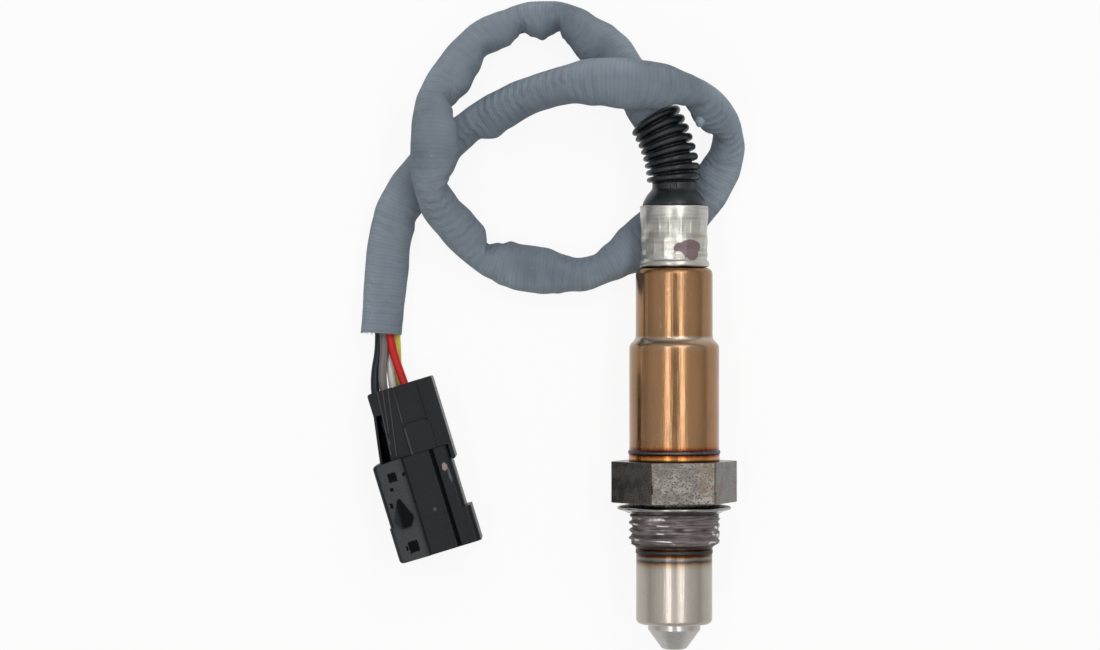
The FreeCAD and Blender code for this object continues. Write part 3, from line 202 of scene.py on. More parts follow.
def new_object(name, bm, material, smooth=True):
    for face in bm.faces:
        face.smooth = smooth
    piece = in_scene(name, bm, material)
    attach(piece, "root")
    return piece


def table_value(table, place, column):
    """A value of a table at a distance, eased between its rows."""
    for before, after in zip(table, table[1:]):
        if place <= after[0]:
            share = min(max((place - before[0]) / (after[0] - before[0]), 0.0), 1.0)
            share = share * share * (3 - 2 * share)
            return before[column] + (after[column] - before[column]) * share
    return table[-1][column]


def bell(offset, reach):
    """1 in the middle, falling smoothly to 0 at the reach."""
    share = min(abs(offset) / reach, 1.0)
    return (1 - share * share) ** 2


def ring_of(bm, matrix, sides, radius):
    made = bmesh.ops.create_circle(bm, segments=sides, radius=radius, matrix=matrix)
    return made["verts"]


def edges_of(ring):
    """The edges between the corners of a ring."""
    members = set(ring)
    edges = dict.fromkeys(edge for corner in ring for edge in corner.link_edges)
    return [edge for edge in edges if set(edge.verts) <= members]


def lay_pattern(bm, rings, lengths, sides, across_layer, along_layer):
    """Writes how far round and how far along each corner is, for a pattern that follows the tube."""
    for ring, reached in zip(rings, lengths):
        for index, vertex in enumerate(ring):
            vertex[across_layer] = index / sides
            vertex[along_layer] = reached


def unroll(bm, across_layer, along_layer):
    """A UV map from the two lengths: once round is 1, along is in metres."""
    sheet = bm.loops.layers.uv.new("along")
    for face in bm.faces:
        rounds = [loop.vert[across_layer] for loop in face.loops]
        seam = max(rounds) - min(rounds) > 0.5
        for loop, around in zip(face.loops, rounds):
            if seam and around < 0.5:
                around += 1.0
            loop[sheet].uv = (around, loop.vert[along_layer])


def join_rings(bm, rings):
    """Walls between the rings of a tube, one after another."""
    walls = []
    for before, after in zip(rings, rings[1:]):
        walls += bmesh.ops.bridge_loops(bm, edges=edges_of(before) + edges_of(after))["faces"]
    return walls


def close_ring(bm, ring):
    return bmesh.ops.edgeloop_fill(bm, edges=edges_of(ring))["faces"]


def fold_depth(place, angle):
    """How deep the sleeve's folds press its wall in at a distance and an angle."""
    depth = 0.0
    for fold, turned, half_length, half_angle, deepest in SLEEVE_FOLDS:
        if abs(place - fold) < half_length:
            depth += deepest * bell(place - fold, half_length) * bell(angle - turned, half_angle)
    return depth


sleeve_line = thinned(smooth_line(SLEEVE_ROUTE), 0.55 * MM)
sleeve_lengths = lengths_along(sleeve_line)
sleeve_bm = bmesh.new()
around_layer = sleeve_bm.verts.layers.float.new("around")
along_layer = sleeve_bm.verts.layers.float.new("along_tube")
sleeve_rings = []
for index, reached in enumerate(sleeve_lengths):
    place = reached / MM
    inner = table_value(SLEEVE_REACH, place, 1)
    outer = table_value(SLEEVE_REACH, place, 2)
    height = SLEEVE_RADIUS * (SLEEVE_RADIUS / ((inner + outer) / 2)) ** 0.8
    pressed = PRESSED_HEIGHT + 2.4 * (1 - bell(place - PRESSED_AT, 12.0))
    height = min(max(height, 3.3), 4.4, pressed)
    matrix = crossways(sleeve_line, index)
    ring = ring_of(sleeve_bm, matrix, SLEEVE_SIDES, SLEEVE_RADIUS * MM)
    back = matrix.inverted()
    level = sleeve_line[index].z
    sag = max(0.0, level - height * MM - TABLE) if level < LYING_BELOW else 0.0
    for vertex in ring:
        spot = back @ vertex.co
        angle = math.degrees(math.atan2(spot.y, spot.x))
        spot.x *= (inner if spot.x > 0 else outer) / SLEEVE_RADIUS
        spot.y *= height / SLEEVE_RADIUS
        cut = fold_depth(place, angle)
        cut += 0.16 * noise.noise(Vector((spot.x, spot.y, reached)) * 260)
        if place < 4:
            cut -= 0.12
        size = math.hypot(spot.x, spot.y)
        spot *= max(size - cut * MM, 0.5 * size) / size
        spot.z = 0
        vertex.co = matrix @ spot
        vertex.co.z = max(vertex.co.z - sag, LOWEST_YARN)
    sleeve_rings.append(ring)
lay_pattern(sleeve_bm, sleeve_rings, sleeve_lengths, SLEEVE_SIDES, around_layer, along_layer)
# The cut end is open: its wall turns in and runs back inside
inside_rings = []
inside_lengths = []
for index in range(len(sleeve_line) - 1, 0, -1):
    depth = sleeve_lengths[-1] - sleeve_lengths[index]
    if depth > SLEEVE_OPEN:
        break
    if len(inside_rings) * 0.9 * MM > depth:
        continue
    inside_rings.append(ring_of(sleeve_bm, crossways(sleeve_line, index), SLEEVE_SIDES, SLEEVE_BORE))
    inside_lengths.append(sleeve_lengths[index] - 0.2 * MM)
lay_pattern(sleeve_bm, inside_rings, inside_lengths, SLEEVE_SIDES, around_layer, along_layer)
join_rings(sleeve_bm, sleeve_rings + inside_rings)
close_ring(sleeve_bm, inside_rings[-1])
close_ring(sleeve_bm, sleeve_rings[0])
lobe_turn = Matrix.Translation(LOBE_PLACE) @ Matrix.Rotation(math.radians(-22), 4, "Z")
lobe_shape = lobe_turn @ Matrix.Diagonal((*LOBE_REACH, 1))
lobe = bmesh.ops.create_uvsphere(sleeve_bm, u_segments=24, v_segments=16, radius=1.0, matrix=lobe_shape)
for vertex in lobe["verts"]:
    offset = lobe_turn.inverted() @ vertex.co
    vertex[around_layer] = 0.25 + 0.05 * offset.x / MM
    vertex[along_layer] = LOBE_ALONG + offset.y
# Frayed ends of the glass yarn stand out round the cut rim
end_matrix = crossways(sleeve_line, len(sleeve_line) - 1)
for number in range(FRAYED_ENDS):
    angle = 2 * math.pi * number / FRAYED_ENDS + 0.3 * noise.noise(Vector((number * 1.7, 0, 0)))
    length = (0.35 + 0.45 * abs(noise.noise(Vector((0, number * 2.3, 0))))) * MM
    lean = Matrix.Rotation(0.9 * noise.noise(Vector((0, 0, number * 3.1))), 4, "X")
    lean @= Matrix.Rotation(0.9 * noise.noise(Vector((5, 0, number * 2.1))), 4, "Y")
    foot = Matrix.Translation((math.cos(angle) * 4.0 * MM, math.sin(angle) * 3.95 * MM, -0.15 * MM))
    yarn_end = bmesh.ops.create_cone(
        sleeve_bm,
        cap_ends=True,
        segments=5,
        radius1=0.07 * MM,
        radius2=0.03 * MM,
        depth=length,
        matrix=end_matrix @ foot @ lean @ Matrix.Translation((0, 0, length / 2)),
    )
    for vertex in yarn_end["verts"]:
        vertex.co.z = max(vertex.co.z, LOWEST_YARN)
        vertex[around_layer] = number / FRAYED_ENDS
        vertex[along_layer] = sleeve_lengths[-1]
bmesh.ops.recalc_face_normals(sleeve_bm, faces=sleeve_bm.faces)
unroll(sleeve_bm, around_layer, along_layer)


def shader_group(name, inputs, outputs):
    """An empty shader group with its sockets, and its two ends."""
    group = bpy.data.node_groups.new(name, "ShaderNodeTree")
    kinds = {"number": "NodeSocketFloat", "colour": "NodeSocketColor", "vector": "NodeSocketVector"}
    for label, kind, value in inputs:
        socket = group.interface.new_socket(label, in_out="INPUT", socket_type=kinds[kind])
        if value is not None:
            socket.default_value = value
    for label, kind in outputs:
        group.interface.new_socket(label, in_out="OUTPUT", socket_type=kinds[kind])
    return group, group.nodes.new("NodeGroupInput"), group.nodes.new("NodeGroupOutput")


def put(tree, kind, sockets=None, **settings):
    """A new shader node with its settings, and values or links on its sockets."""
    node = tree.nodes.new("ShaderNode" + kind)
    for name, value in settings.items():
        setattr(node, name, value)
    for name, value in (sockets or {}).items():
        if isinstance(value, bpy.types.NodeSocket):
            tree.links.new(value, node.inputs[name])
        else:
            node.inputs[name].default_value = value
    return node


def sums(tree, operation, first, second=0.0, third=0.0, clamp=False):
    sockets = {0: first, 1: second, 2: third}
    return put(tree, "Math", sockets, operation=operation, use_clamp=clamp).outputs[0]


def times(tree, first, second):
    return sums(tree, "MULTIPLY", first, second)


def scaled(tree, value, factor, added):
    """A value times a factor, and another added."""
    return sums(tree, "MULTIPLY_ADD", value, factor, added)


def opposite(tree, value):
    """1 less a value."""
    return sums(tree, "SUBTRACT", 1.0, value)


def wave(tree, turns):
    """A sine between 0 and 1, one wave to a turn."""
    return scaled(tree, sums(tree, "SINE", times(tree, turns, 2 * math.pi)), 0.5, 0.5)


def noise_at(tree, vector, scale, detail, roughness=0.5):
    sockets = {"Vector": vector, "Scale": scale, "Detail": detail, "Roughness": roughness}
    return put(tree, "TexNoise", sockets).outputs[0]


def stretched(tree, vector, factors):
    return put(tree, "VectorMath", {0: vector, 1: factors}, operation="MULTIPLY").outputs[0]


def on_sheet(tree, around, along):
    """A place on an unrolled tube."""
    return put(tree, "CombineXYZ", {0: around, 1: along}).outputs[0]


def give_out(group, group_end, *values):
    """Links values to the outputs of a shader group, in their order."""
    for value, socket in zip(values, group_end.inputs):
        group.links.new(value, socket)


def stepped(tree, value, low, high):
    """0 below one value, 1 above the other, smooth between them."""
    sockets = {"Value": value, "From Min": low, "From Max": high}
    return put(tree, "MapRange", sockets, interpolation_type="SMOOTHSTEP").outputs[0]


def blend(tree, share, first, second):
    """A colour between two, by a share."""
    return put(tree, "Mix", {0: share, 6: first, 7: second}, data_type="RGBA").outputs[2]


def layer(tree, colour, mask, strength, over):
    """A colour laid over another one where a mask says, with a strength."""
    return blend(tree, times(tree, mask, strength), colour, over)


def rgb(red, green, blue):
    return (red, green, blue, 1.0)


def new_material(name, **constants):
    """A material with its Principled shader, and Object coordinates at hand."""
    material = bpy.data.materials.new(name)
    material.use_nodes = True
    tree = material.node_tree
    shader = tree.nodes["Principled BSDF"]
    for socket, value in constants.items():
        shader.inputs[socket.replace("_", " ")].default_value = value
    spot = tree.nodes.new("ShaderNodeTexCoord").outputs["Object"]
    return material, tree, shader, spot


def set_finish(tree, shader, colour=None, roughness=None, height=None, depth=0.0001, metallic=None):
    """Links a colour, roughness and bump height to a shader."""
    if colour is not None:
        tree.links.new(colour, shader.inputs["Base Color"])
    if roughness is not None:
        tree.links.new(roughness, shader.inputs["Roughness"])
    if metallic is not None:
        tree.links.new(metallic, shader.inputs["Metallic"])
    if height is not None:
        bump = put(tree, "Bump", {"Height": height, "Distance": depth, "Strength": 1.0})
        tree.links.new(bump.outputs[0], shader.inputs["Normal"])


# Weave of the sleeve: fine ribs across the tube, yarns along it, and small uneven spots
weave, weave_in, weave_out = shader_group(
    "woven_yarn",
    [
        ("Around", "number", 0.0),
        ("Along", "number", 0.0),
        ("Rib Pitch", "number", 0.7 * MM),
        ("Ripple Pitch", "number", 1.9 * MM),
        ("Yarns", "number", 46.0),
    ],
    [("Height", "number"), ("Gap", "number"), ("Unevenness", "number"), ("Ripple", "number")],
)
around, along, rib_pitch, ripple_pitch, yarn_count = list(weave_in.outputs)[:5]
drift = noise_at(weave, on_sheet(weave, around, along), 9.0, 2.0)
rib_turns = scaled(weave, drift, 0.7, sums(weave, "DIVIDE", along, rib_pitch))
half_step = times(weave, sums(weave, "FLOOR", rib_turns), 0.5)
yarn = wave(weave, sums(weave, "ADD", times(weave, around, yarn_count), half_step))
yarn_height = scaled(weave, yarn, 0.35, times(weave, wave(weave, rib_turns), 0.65))
speckle = noise_at(weave, on_sheet(weave, times(weave, around, 30.0), times(weave, along, 900.0)), 1.4, 3.0)
strength = noise_at(weave, on_sheet(weave, times(weave, around, 3.0), times(weave, along, 160.0)), 1.3, 2.0)
ripple = wave(weave, scaled(weave, drift, 1.6, sums(weave, "DIVIDE", along, ripple_pitch)))
give_out(
    weave,
    weave_out,
    scaled(weave, speckle, 0.35, yarn_height),
    sums(weave, "SUBTRACT", 1.0, yarn_height, clamp=True),
    speckle,
    times(weave, ripple, stepped(weave, strength, 0.25, 0.80)),
)

woven_grey, tree, shader, spot = new_material("woven_grey_sleeve", Specular_IOR_Level=0.25)
parts = put(tree, "SeparateXYZ", {0: put(tree, "UVMap", uv_map="along").outputs[0]})
around, along = parts.outputs[0], parts.outputs[1]
sockets = {"Around": around, "Along": along, "Rib Pitch": 0.72 * MM, "Yarns": 44.0}
yarns = put(tree, "Group", sockets, node_tree=weave).outputs
cloud = stepped(tree, noise_at(tree, spot, 120.0, 4.0, 0.6), 0.42, 0.70)
patch = stepped(tree, noise_at(tree, spot, 55.0, 3.0, 0.55), 0.45, 0.68)
# Painted shade: the tube's sides and underside are painted darker than its top, by how far round it they lie.
upper_side = sums(tree, "SINE", times(tree, around, 2 * math.pi))
painted_shade_flank = opposite(tree, stepped(tree, upper_side, 0.0, 0.85))
cut_end = stepped(tree, along, sleeve_lengths[-1] - 0.6 * MM, sleeve_lengths[-1] - 0.1 * MM)
colour = blend(tree, yarns["Gap"], rgb(0.304, 0.360, 0.416), rgb(0.262, 0.312, 0.365))
colour = layer(tree, colour, painted_shade_flank, 0.42, rgb(0.098, 0.124, 0.154))
# Painted shade: the ripples' troughs, which the bump presses in, are painted darker too.
colour = layer(tree, colour, yarns["Ripple"], 0.30, rgb(0.140, 0.170, 0.206))
colour = layer(tree, colour, patch, 0.6, rgb(0.112, 0.140, 0.172))
colour = layer(tree, colour, cloud, 0.45, rgb(0.225, 0.255, 0.290))
colour = layer(tree, colour, stepped(tree, yarns["Unevenness"], 0.66, 0.78), 1.0, rgb(0.27, 0.30, 0.33))
colour = layer(tree, colour, cut_end, 0.6, rgb(0.36, 0.38, 0.40))
height = scaled(tree, yarns["Ripple"], -1.6, times(tree, yarns["Height"], 0.30))
set_finish(tree, shader, colour, scaled(tree, yarns["Gap"], 0.15, 0.72), height, 0.14 * MM)
sleeve = new_object("woven_sleeve", sleeve_bm, woven_grey)
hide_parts("harness_sleeve")


# Wires: five stranded leads with 1.7 mm soft insulation, from the contacts through the boot's holes and
# the whole sleeve into the plug. Red and grey lie on top where they leave the sleeve's cut end.
# Each wire's column and row in the sleeve, and its slot
WIRES = {
    "black": (-1.0, -1, "insulation_black"),
    "grey": (-0.5, 1, "insulation_grey"),
    "white": (0.0, -1, "insulation_white"),
    "red": (0.5, 1, "insulation_red"),
    "yellow": (1.0, -1, "insulation_yellow"),
}
WIRE_IN = {
    "black": [
        (-1.76, 50.50, -1.54), (-1.76, 61.90, -1.54), (1.89, 68.15, -0.30),
        (-0.27, 75.94, -0.88), (-3.94, 81.99, -1.86),
    ],
    "grey": [
        (-1.28, 50.50, 0.72), (-1.28, 61.90, 0.72), (0.64, 68.03, 0.98),
        (-1.45, 75.57, 0.42), (-5.06, 81.53, -0.55),
    ],
    "white": [
        (0.27, 50.50, -0.99), (0.27, 61.90, -0.99), (0.20, 67.90, -0.75),
        (-1.83, 75.21, -1.30), (-5.37, 81.06, -2.25),
    ],
    "red": [
        (0.75, 50.50, 1.27), (0.75, 61.90, 1.27), (-1.05, 67.78, 0.53),
        (-3.01, 74.85, 0.00), (-6.49, 80.60, -0.93),
    ],
    "yellow": [
        (2.30, 50.50, -0.45), (2.30, 61.90, -0.45), (-1.49, 67.66, -1.21),
        (-3.39, 74.49, -1.72), (-6.80, 80.14, -2.63),
    ],
}
WIRE_OUT = {
    "black": [
        (-59.5, 43.7, -8.32), (-58.4, 34.5, -8.32), (-60.0, 26.0, -6.6),
        (-58.6, 19.0, -4.3), (-56.11, 13.81, -3.49), (-53.30, 4.63, -3.49),
    ],
    "grey": [
        (-58.6, 43.7, -6.76), (-57.4, 34.5, -6.76), (-58.5, 24.6, -5.4),
        (-55.0, 19.0, -3.9), (-53.14, 14.72, -3.49), (-50.34, 5.54, -3.49),
    ],
    "white": [
        (-57.8, 43.6, -8.32), (-56.8, 34.5, -8.0), (-56.4, 26.0, -7.3),
        (-54.5, 18.7, -7.3), (-53.14, 14.72, -6.99), (-50.34, 5.54, -6.99),
    ],
    "red": [
        (-57.06, 43.56, -6.76), (-57.1, 35.0, -6.5), (-53.9, 26.0, -5.0),
        (-51.7, 20.4, -3.9), (-50.18, 15.62, -3.49), (-47.37, 6.44, -3.49),
    ],
    "yellow": [
        (-56.19, 43.5, -8.32), (-55.3, 34.5, -8.32), (-55.2, 26.5, -7.8),
        (-52.0, 20.6, -7.2), (-50.18, 15.62, -6.99), (-47.37, 6.44, -6.99),
    ],
}
WIRE_COLOURS = {
    "black": (rgb(0.004, 0.007, 0.016), rgb(0.010, 0.015, 0.034)),
    "grey": (rgb(0.16, 0.148, 0.138), rgb(0.22, 0.20, 0.185)),
    "white": (rgb(0.78, 0.75, 0.69), rgb(0.86, 0.84, 0.78)),
    "red": (rgb(0.50, 0.006, 0.006), rgb(0.66, 0.018, 0.016)),
    "yellow": (rgb(0.62, 0.58, 0.075), rgb(0.72, 0.69, 0.16)),
}
WIRE_RADIUS = 0.85 * MM
WIRE_SIDES = 16
# In the woven sleeve: how far to the side the outermost wires lie, and how far from its middle each row
COLUMN_REACH = 1.75 * MM
ROW_HEIGHT = 0.78 * MM


def placed_route(route):
    return smooth_line([tuple(value * MM for value in place) for place in route])


# Soft insulation: draw marks along the wire, a little dust between them
draw_marks, marks_in, marks_out = shader_group(
    "insulation_draw_marks",
    [("Around", "number", 0.0), ("Along", "number", 0.0)],
    [("Streak", "number"), ("Height", "number")],
)
around, along = marks_in.outputs[0], marks_in.outputs[1]
marks_place = on_sheet(draw_marks, times(draw_marks, around, 7.0), times(draw_marks, along, 26.0))
long_noise = noise_at(draw_marks, marks_place, 1.6, 3.0)
give_out(draw_marks, marks_out, stepped(draw_marks, long_noise, 0.45, 0.62), long_noise)

inside_sleeve = [
    index
    for index, reached in enumerate(sleeve_lengths)
    if 5.5 * MM < reached < sleeve_lengths[-1] - 10.5 * MM
][::3]
for name, (column, row, slot) in WIRES.items():
    places = placed_route(WIRE_IN[name])
    for index in inside_sleeve:
        pressed = 0.3 * MM * bell(sleeve_lengths[index] / MM - PRESSED_AT, 12.0)
        offset = Vector((-column * COLUMN_REACH, row * ROW_HEIGHT - pressed, 0))
        places.append(crossways(sleeve_line, index) @ offset)
    places += placed_route(WIRE_OUT[name])
    line = thinned(places, 0.8 * MM)
    lengths = lengths_along(line)
    wire_bm = bmesh.new()
    around_layer = wire_bm.verts.layers.float.new("around")
    along_layer = wire_bm.verts.layers.float.new("along_tube")
    rings = [ring_of(wire_bm, crossways(line, index), WIRE_SIDES, WIRE_RADIUS) for index in range(len(line))]
    lay_pattern(wire_bm, rings, lengths, WIRE_SIDES, around_layer, along_layer)
    join_rings(wire_bm, rings)
    close_ring(wire_bm, rings[0])
    close_ring(wire_bm, rings[-1])
    bmesh.ops.recalc_face_normals(wire_bm, faces=wire_bm.faces)
    unroll(wire_bm, around_layer, along_layer)
    material, tree, shader, spot = new_material("wire_" + name + "_insulation", Specular_IOR_Level=0.28)
    parts = put(tree, "SeparateXYZ", {0: put(tree, "UVMap", uv_map="along").outputs[0]})
    sockets = {"Around": parts.outputs[0], "Along": parts.outputs[1]}
    marks = put(tree, "Group", sockets, node_tree=draw_marks).outputs
    grain = noise_at(tree, spot, 2600.0, 2.0)
    colour = blend(tree, marks["Streak"], *WIRE_COLOURS[name])
    rough = scaled(tree, grain, 0.25, 0.30)
    set_finish(tree, shader, colour, rough, scaled(tree, grain, 0.12, marks["Height"]), 0.06 * MM)
    piece = new_object(name + "_lead", wire_bm, material)
    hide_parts("wire_" + name)


# Rubber boot: one black moulding of dome, neck and eight bellows rings, its plug squeezed in the crimp
# sleeve. It is smooth from the mould, bends to the left and holds the woven sleeve on its spigot.
BOOT_BEND = 27.0
BEND_START = 64.1
FIRST_RING = BEND_START + 2.2
RING_PITCH = 1.72
RING_COUNT = 8
NECK_RADIUS = 4.3
PAD_LEVEL = 64.72
BOOT_ROLL = Matrix.Rotation(math.radians(-15), 4, "Y")
DOME_PROFILE = [
    (0.0, 51.9), (5.85, 51.9), (5.9, 53.6), (5.9, 60.6), (6.2, 60.75), (6.26, 61.0), (6.2, 61.35),
    (6.02, 61.8), (5.76, 62.3), (5.4, 62.9), (5.0, 63.4), (4.65, 63.8), (4.45, 64.1), (4.36, 64.5),
    (4.33, 65.1), (4.33, 65.5),
]
RING_PROFILE = [
    (4.0, -0.78), (4.12, -0.64), (4.7, -0.60), (5.05, -0.53), (5.27, -0.36), (5.38, -0.12), (5.38, 0.12),
    (5.27, 0.36), (5.05, 0.53), (4.7, 0.60), (4.12, 0.64), (4.0, 0.78),
]
SPIGOT_PROFILE = [
    (3.65, 79.35), (3.65, 82.1), (3.5, 82.25), (3.2, 82.2), (3.2, 63.6), (4.4, 61.2), (0.0, 61.0),
]


def turned(profile, steps=96, closed=False):
    """A bmesh turned about the sensor's axis from radii and levels in millimetres."""
    bm = bmesh.new()
    corners = [bm.verts.new((radius * MM, level * MM, 0)) for radius, level in profile]
    edges = [bm.edges.new(pair) for pair in zip(corners, corners[1:])]
    if closed:
        edges.append(bm.edges.new((corners[-1], corners[0])))
    bmesh.ops.spin(
        bm,
        geom=corners + edges,
        cent=(0, 0, 0),
        axis=(0, 1, 0),
        angle=2 * math.pi,
        steps=steps,
        use_merge=True,
    )
    bmesh.ops.remove_doubles(bm, verts=bm.verts, dist=1e-7)
    bmesh.ops.recalc_face_normals(bm, faces=bm.faces)
    return bm


def round_off(bm, edges, reach, segments, clamp=False):
    """Rounds edges over a reach in millimetres."""
    return bmesh.ops.bevel(
        bm,
        geom=list(edges),
        offset=reach * MM,
        affect="EDGES",
        segments=segments,
        profile=0.5,
        material=-1,
        clamp_overlap=clamp,
    )


def bent_boot(place):
    """Where a point of the straight boot goes when it bends."""
    level = place.y / MM - BEND_START
    if level <= 0:
        return BOOT_ROLL @ place
    turn = level / BOOT_BEND
    reach = BOOT_BEND * MM + place.x
    across = reach * math.cos(turn) - BOOT_BEND * MM
    along = BEND_START * MM + reach * math.sin(turn)
    return BOOT_ROLL @ Vector((across, along, place.z))


boot_profile = list(DOME_PROFILE)
for number in range(RING_COUNT):
    middle = FIRST_RING + RING_PITCH * number
    boot_profile += [(radius, middle + step) for radius, step in RING_PROFILE]
boot_profile += SPIGOT_PROFILE
boot_bm = turned(boot_profile)
for vertex in boot_bm.verts:
    vertex.co = bent_boot(vertex.co)
# Two small pads of the mould on the neck
for across, pad_width in ((-1.50, 1.5), (1.10, 1.8)):
    turn = Matrix.Rotation(math.asin(across / NECK_RADIUS), 4, "Y")
    place = turn @ Matrix.Translation((0, PAD_LEVEL * MM, NECK_RADIUS * MM))
    place @= Matrix.Diagonal((pad_width * MM, 1.4 * MM, 0.5 * MM, 1))
    pad = bmesh.ops.create_cube(boot_bm, size=1, matrix=place)
    pad_edges = dict.fromkeys(edge for corner in pad["verts"] for edge in corner.link_edges)
    round_off(boot_bm, pad_edges, 0.16, 3)

# Fine grain of a moulded or blasted surface: soft spots and small pits
grain_group, grain_in, grain_out = shader_group(
    "fine_grain",
    [("Vector", "vector", None), ("Scale", "number", 2000.0), ("Spots", "number", 300.0)],
    [("Height", "number"), ("Spot", "number"), ("Grit", "number")],
)
place, scale, spot_scale = list(grain_in.outputs)[:3]
fine = noise_at(grain_group, place, scale, 3.0)
spots = noise_at(grain_group, place, spot_scale, 3.0)
cells = put(grain_group, "TexVoronoi", {"Vector": place, "Scale": scale}).outputs[0]
give_out(
    grain_group,
    grain_out,
    scaled(grain_group, fine, 0.7, times(grain_group, spots, 0.3)),
    stepped(grain_group, spots, 0.42, 0.66),
    stepped(grain_group, cells, 0.1, 0.6),
)


def grain_of(tree, vector, scale, spots):
    sockets = {"Vector": vector, "Scale": scale, "Spots": spots}
    return put(tree, "Group", sockets, node_tree=grain_group).outputs


black_rubber, tree, shader, spot = new_material("moulded_black_rubber", Specular_IOR_Level=0.35)
grain = grain_of(tree, spot, 3000.0, 260.0)
colour = blend(tree, grain["Spot"], rgb(0.006, 0.010, 0.012), rgb(0.013, 0.019, 0.022))
set_finish(tree, shader, colour, scaled(tree, grain["Spot"], 0.14, 0.30), grain["Height"], 0.03 * MM)
boot = new_object("bellows_boot", boot_bm, black_rubber)
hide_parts("bellows_grommet")


# Crimp sleeve: a stamped tube of bright steel with a bead at its foot, squeezed on the boot's plug by
# two rows of narrow jaws, which leave flats with ridges between them. A purple-brown stain is on it.
CRIMP_PROFILE = [
    (6.0, 46.7), (6.0, 48.6), (6.5, 48.64), (6.80, 48.78), (6.93, 49.06), (6.94, 49.42), (6.82, 49.76),
    (6.62, 49.95), (6.46, 50.15), (6.50, 50.42), (6.62, 50.80), (6.60, 51.30), (6.50, 51.70), (6.46, 52.0),
    (6.50, 52.50), (6.58, 53.10), (6.64, 53.70), (6.64, 54.10), (6.58, 54.60), (6.50, 55.20), (6.46, 55.80),
    (6.47, 56.30), (6.54, 57.00), (6.62, 57.60), (6.70, 58.20), (6.75, 58.70), (6.77, 59.40), (6.77, 60.60),
    (6.70, 60.78), (6.40, 60.80), (6.27, 60.70), (6.25, 58.5), (5.96, 56.0), (6.14, 53.9), (5.96, 52.0),
    (6.1, 50.4), (5.5, 48.6), (5.5, 46.7),
]
JAWS = 18
# The two rows of jaws: the middle of each, how far its flats reach, and how far its ridges reach
LOWER_ROW = (52.4, 2.5, 2.2)
UPPER_ROW = (56.6, 2.3, 2.0)
PRESS_DEPTH = 0.11
RIDGE_HEIGHT = 0.05
CRIMP_FOOT = 48.6
BEAD_TOP = 50.2
ROWS_MEET = 54.6
ROWS_END = 59.0
# The stain is drawn with round spots, in metres: the middle of each and its reach
STAIN_SPOTS = [
    ((0.0029, 0.0525, 0.006), (0.0022, 0.0016, 0.006)),
    ((0.0012, 0.0523, 0.006), (0.00175, 0.0012, 0.006)),
    ((0.0033, 0.0513, 0.006), (0.00130, 0.0015, 0.006)),
    ((0.0009, 0.0510, 0.006), (0.00155, 0.0012, 0.006)),
]
WIPED_CORNER = (0.0005, 0.0502, 0.006)
WIPED_REACH = (0.0015, 0.0016, 0.006)
ARC_MIDDLE = (0.0005, 0.0501, 0.0064)
ARC_PITCH = 0.42 * MM
crimp_bm = turned(CRIMP_PROFILE, steps=JAWS * 10, closed=True)
for vertex in crimp_bm.verts:
    radius = math.hypot(vertex.co.x, vertex.co.z)
    level = vertex.co.y / MM
    angle = math.atan2(vertex.co.x, vertex.co.z)
    if radius < 6.4 * MM or not CRIMP_FOOT <= level <= ROWS_END:
        continue
    if level < BEAD_TOP:
        wander = noise.noise(Vector((math.sin(angle) * 2.2, math.cos(angle) * 2.2, 3.0)))
        vertex.co.y += 0.17 * wander * MM
        continue
    row = 0.0 if level < ROWS_MEET else 0.5
    across = (angle * JAWS / (2 * math.pi) + row + 40) % 1.0 - 0.5
    flat_share = max(bell(level - middle, reach) for middle, reach, _ in (LOWER_ROW, UPPER_ROW))
    ridge_share = max(bell(level - middle + 0.2, reach) for middle, _, reach in (LOWER_ROW, UPPER_ROW))
    press = PRESS_DEPTH * (1 - (2 * abs(across)) ** 3) * flat_share
    ridge = RIDGE_HEIGHT * bell(abs(across) - 0.5, 0.12) * ridge_share
    uneven = 0.02 * noise.noise(Vector((angle * 4, level * 0.8, 1.0)))
    vertex.co.x *= 1 + (ridge - press + uneven) * MM / radius
    vertex.co.z *= 1 + (ridge - press + uneven) * MM / radius

# Wear of a drawn steel surface: fine lines one way, fingerprints and smudges, small scratches
wear_group, wear_in, wear_out = shader_group(
    "drawn_steel_wear",
    [
        ("Vector", "vector", None),
        ("Lines", "vector", (9000.0, 250.0, 9000.0)),
        ("Smudge Scale", "number", 160.0),
    ],
    [("Line", "number"), ("Smudge", "number"), ("Scratch", "number")],
)
place, line_factors, smudge_scale = list(wear_in.outputs)[:3]
line_noise = noise_at(wear_group, stretched(wear_group, place, line_factors), 0.5, 3.0)
sockets = {"Vector": place, "Scale": smudge_scale, "Detail": 4.0, "Distortion": 0.6}
smudge_noise = put(wear_group, "TexNoise", sockets).outputs[0]
sockets = {"Vector": stretched(wear_group, place, (2600.0, 420.0, 1500.0)), "Scale": 0.55}
scratch_noise = put(wear_group, "TexVoronoi", sockets, feature="DISTANCE_TO_EDGE").outputs[0]
scratch = opposite(wear_group, stepped(wear_group, scratch_noise, 0.0, 0.018))
give_out(
    wear_group,
    wear_out,
    line_noise,
    stepped(wear_group, smudge_noise, 0.38, 0.68),
    times(wear_group, scratch, stepped(wear_group, smudge_noise, 0.52, 0.62)),
)


def wear_of(tree, vector, lines, smudges):
    sockets = {"Vector": vector, "Lines": lines, "Smudge Scale": smudges}
    return put(tree, "Group", sockets, node_tree=wear_group).outputs


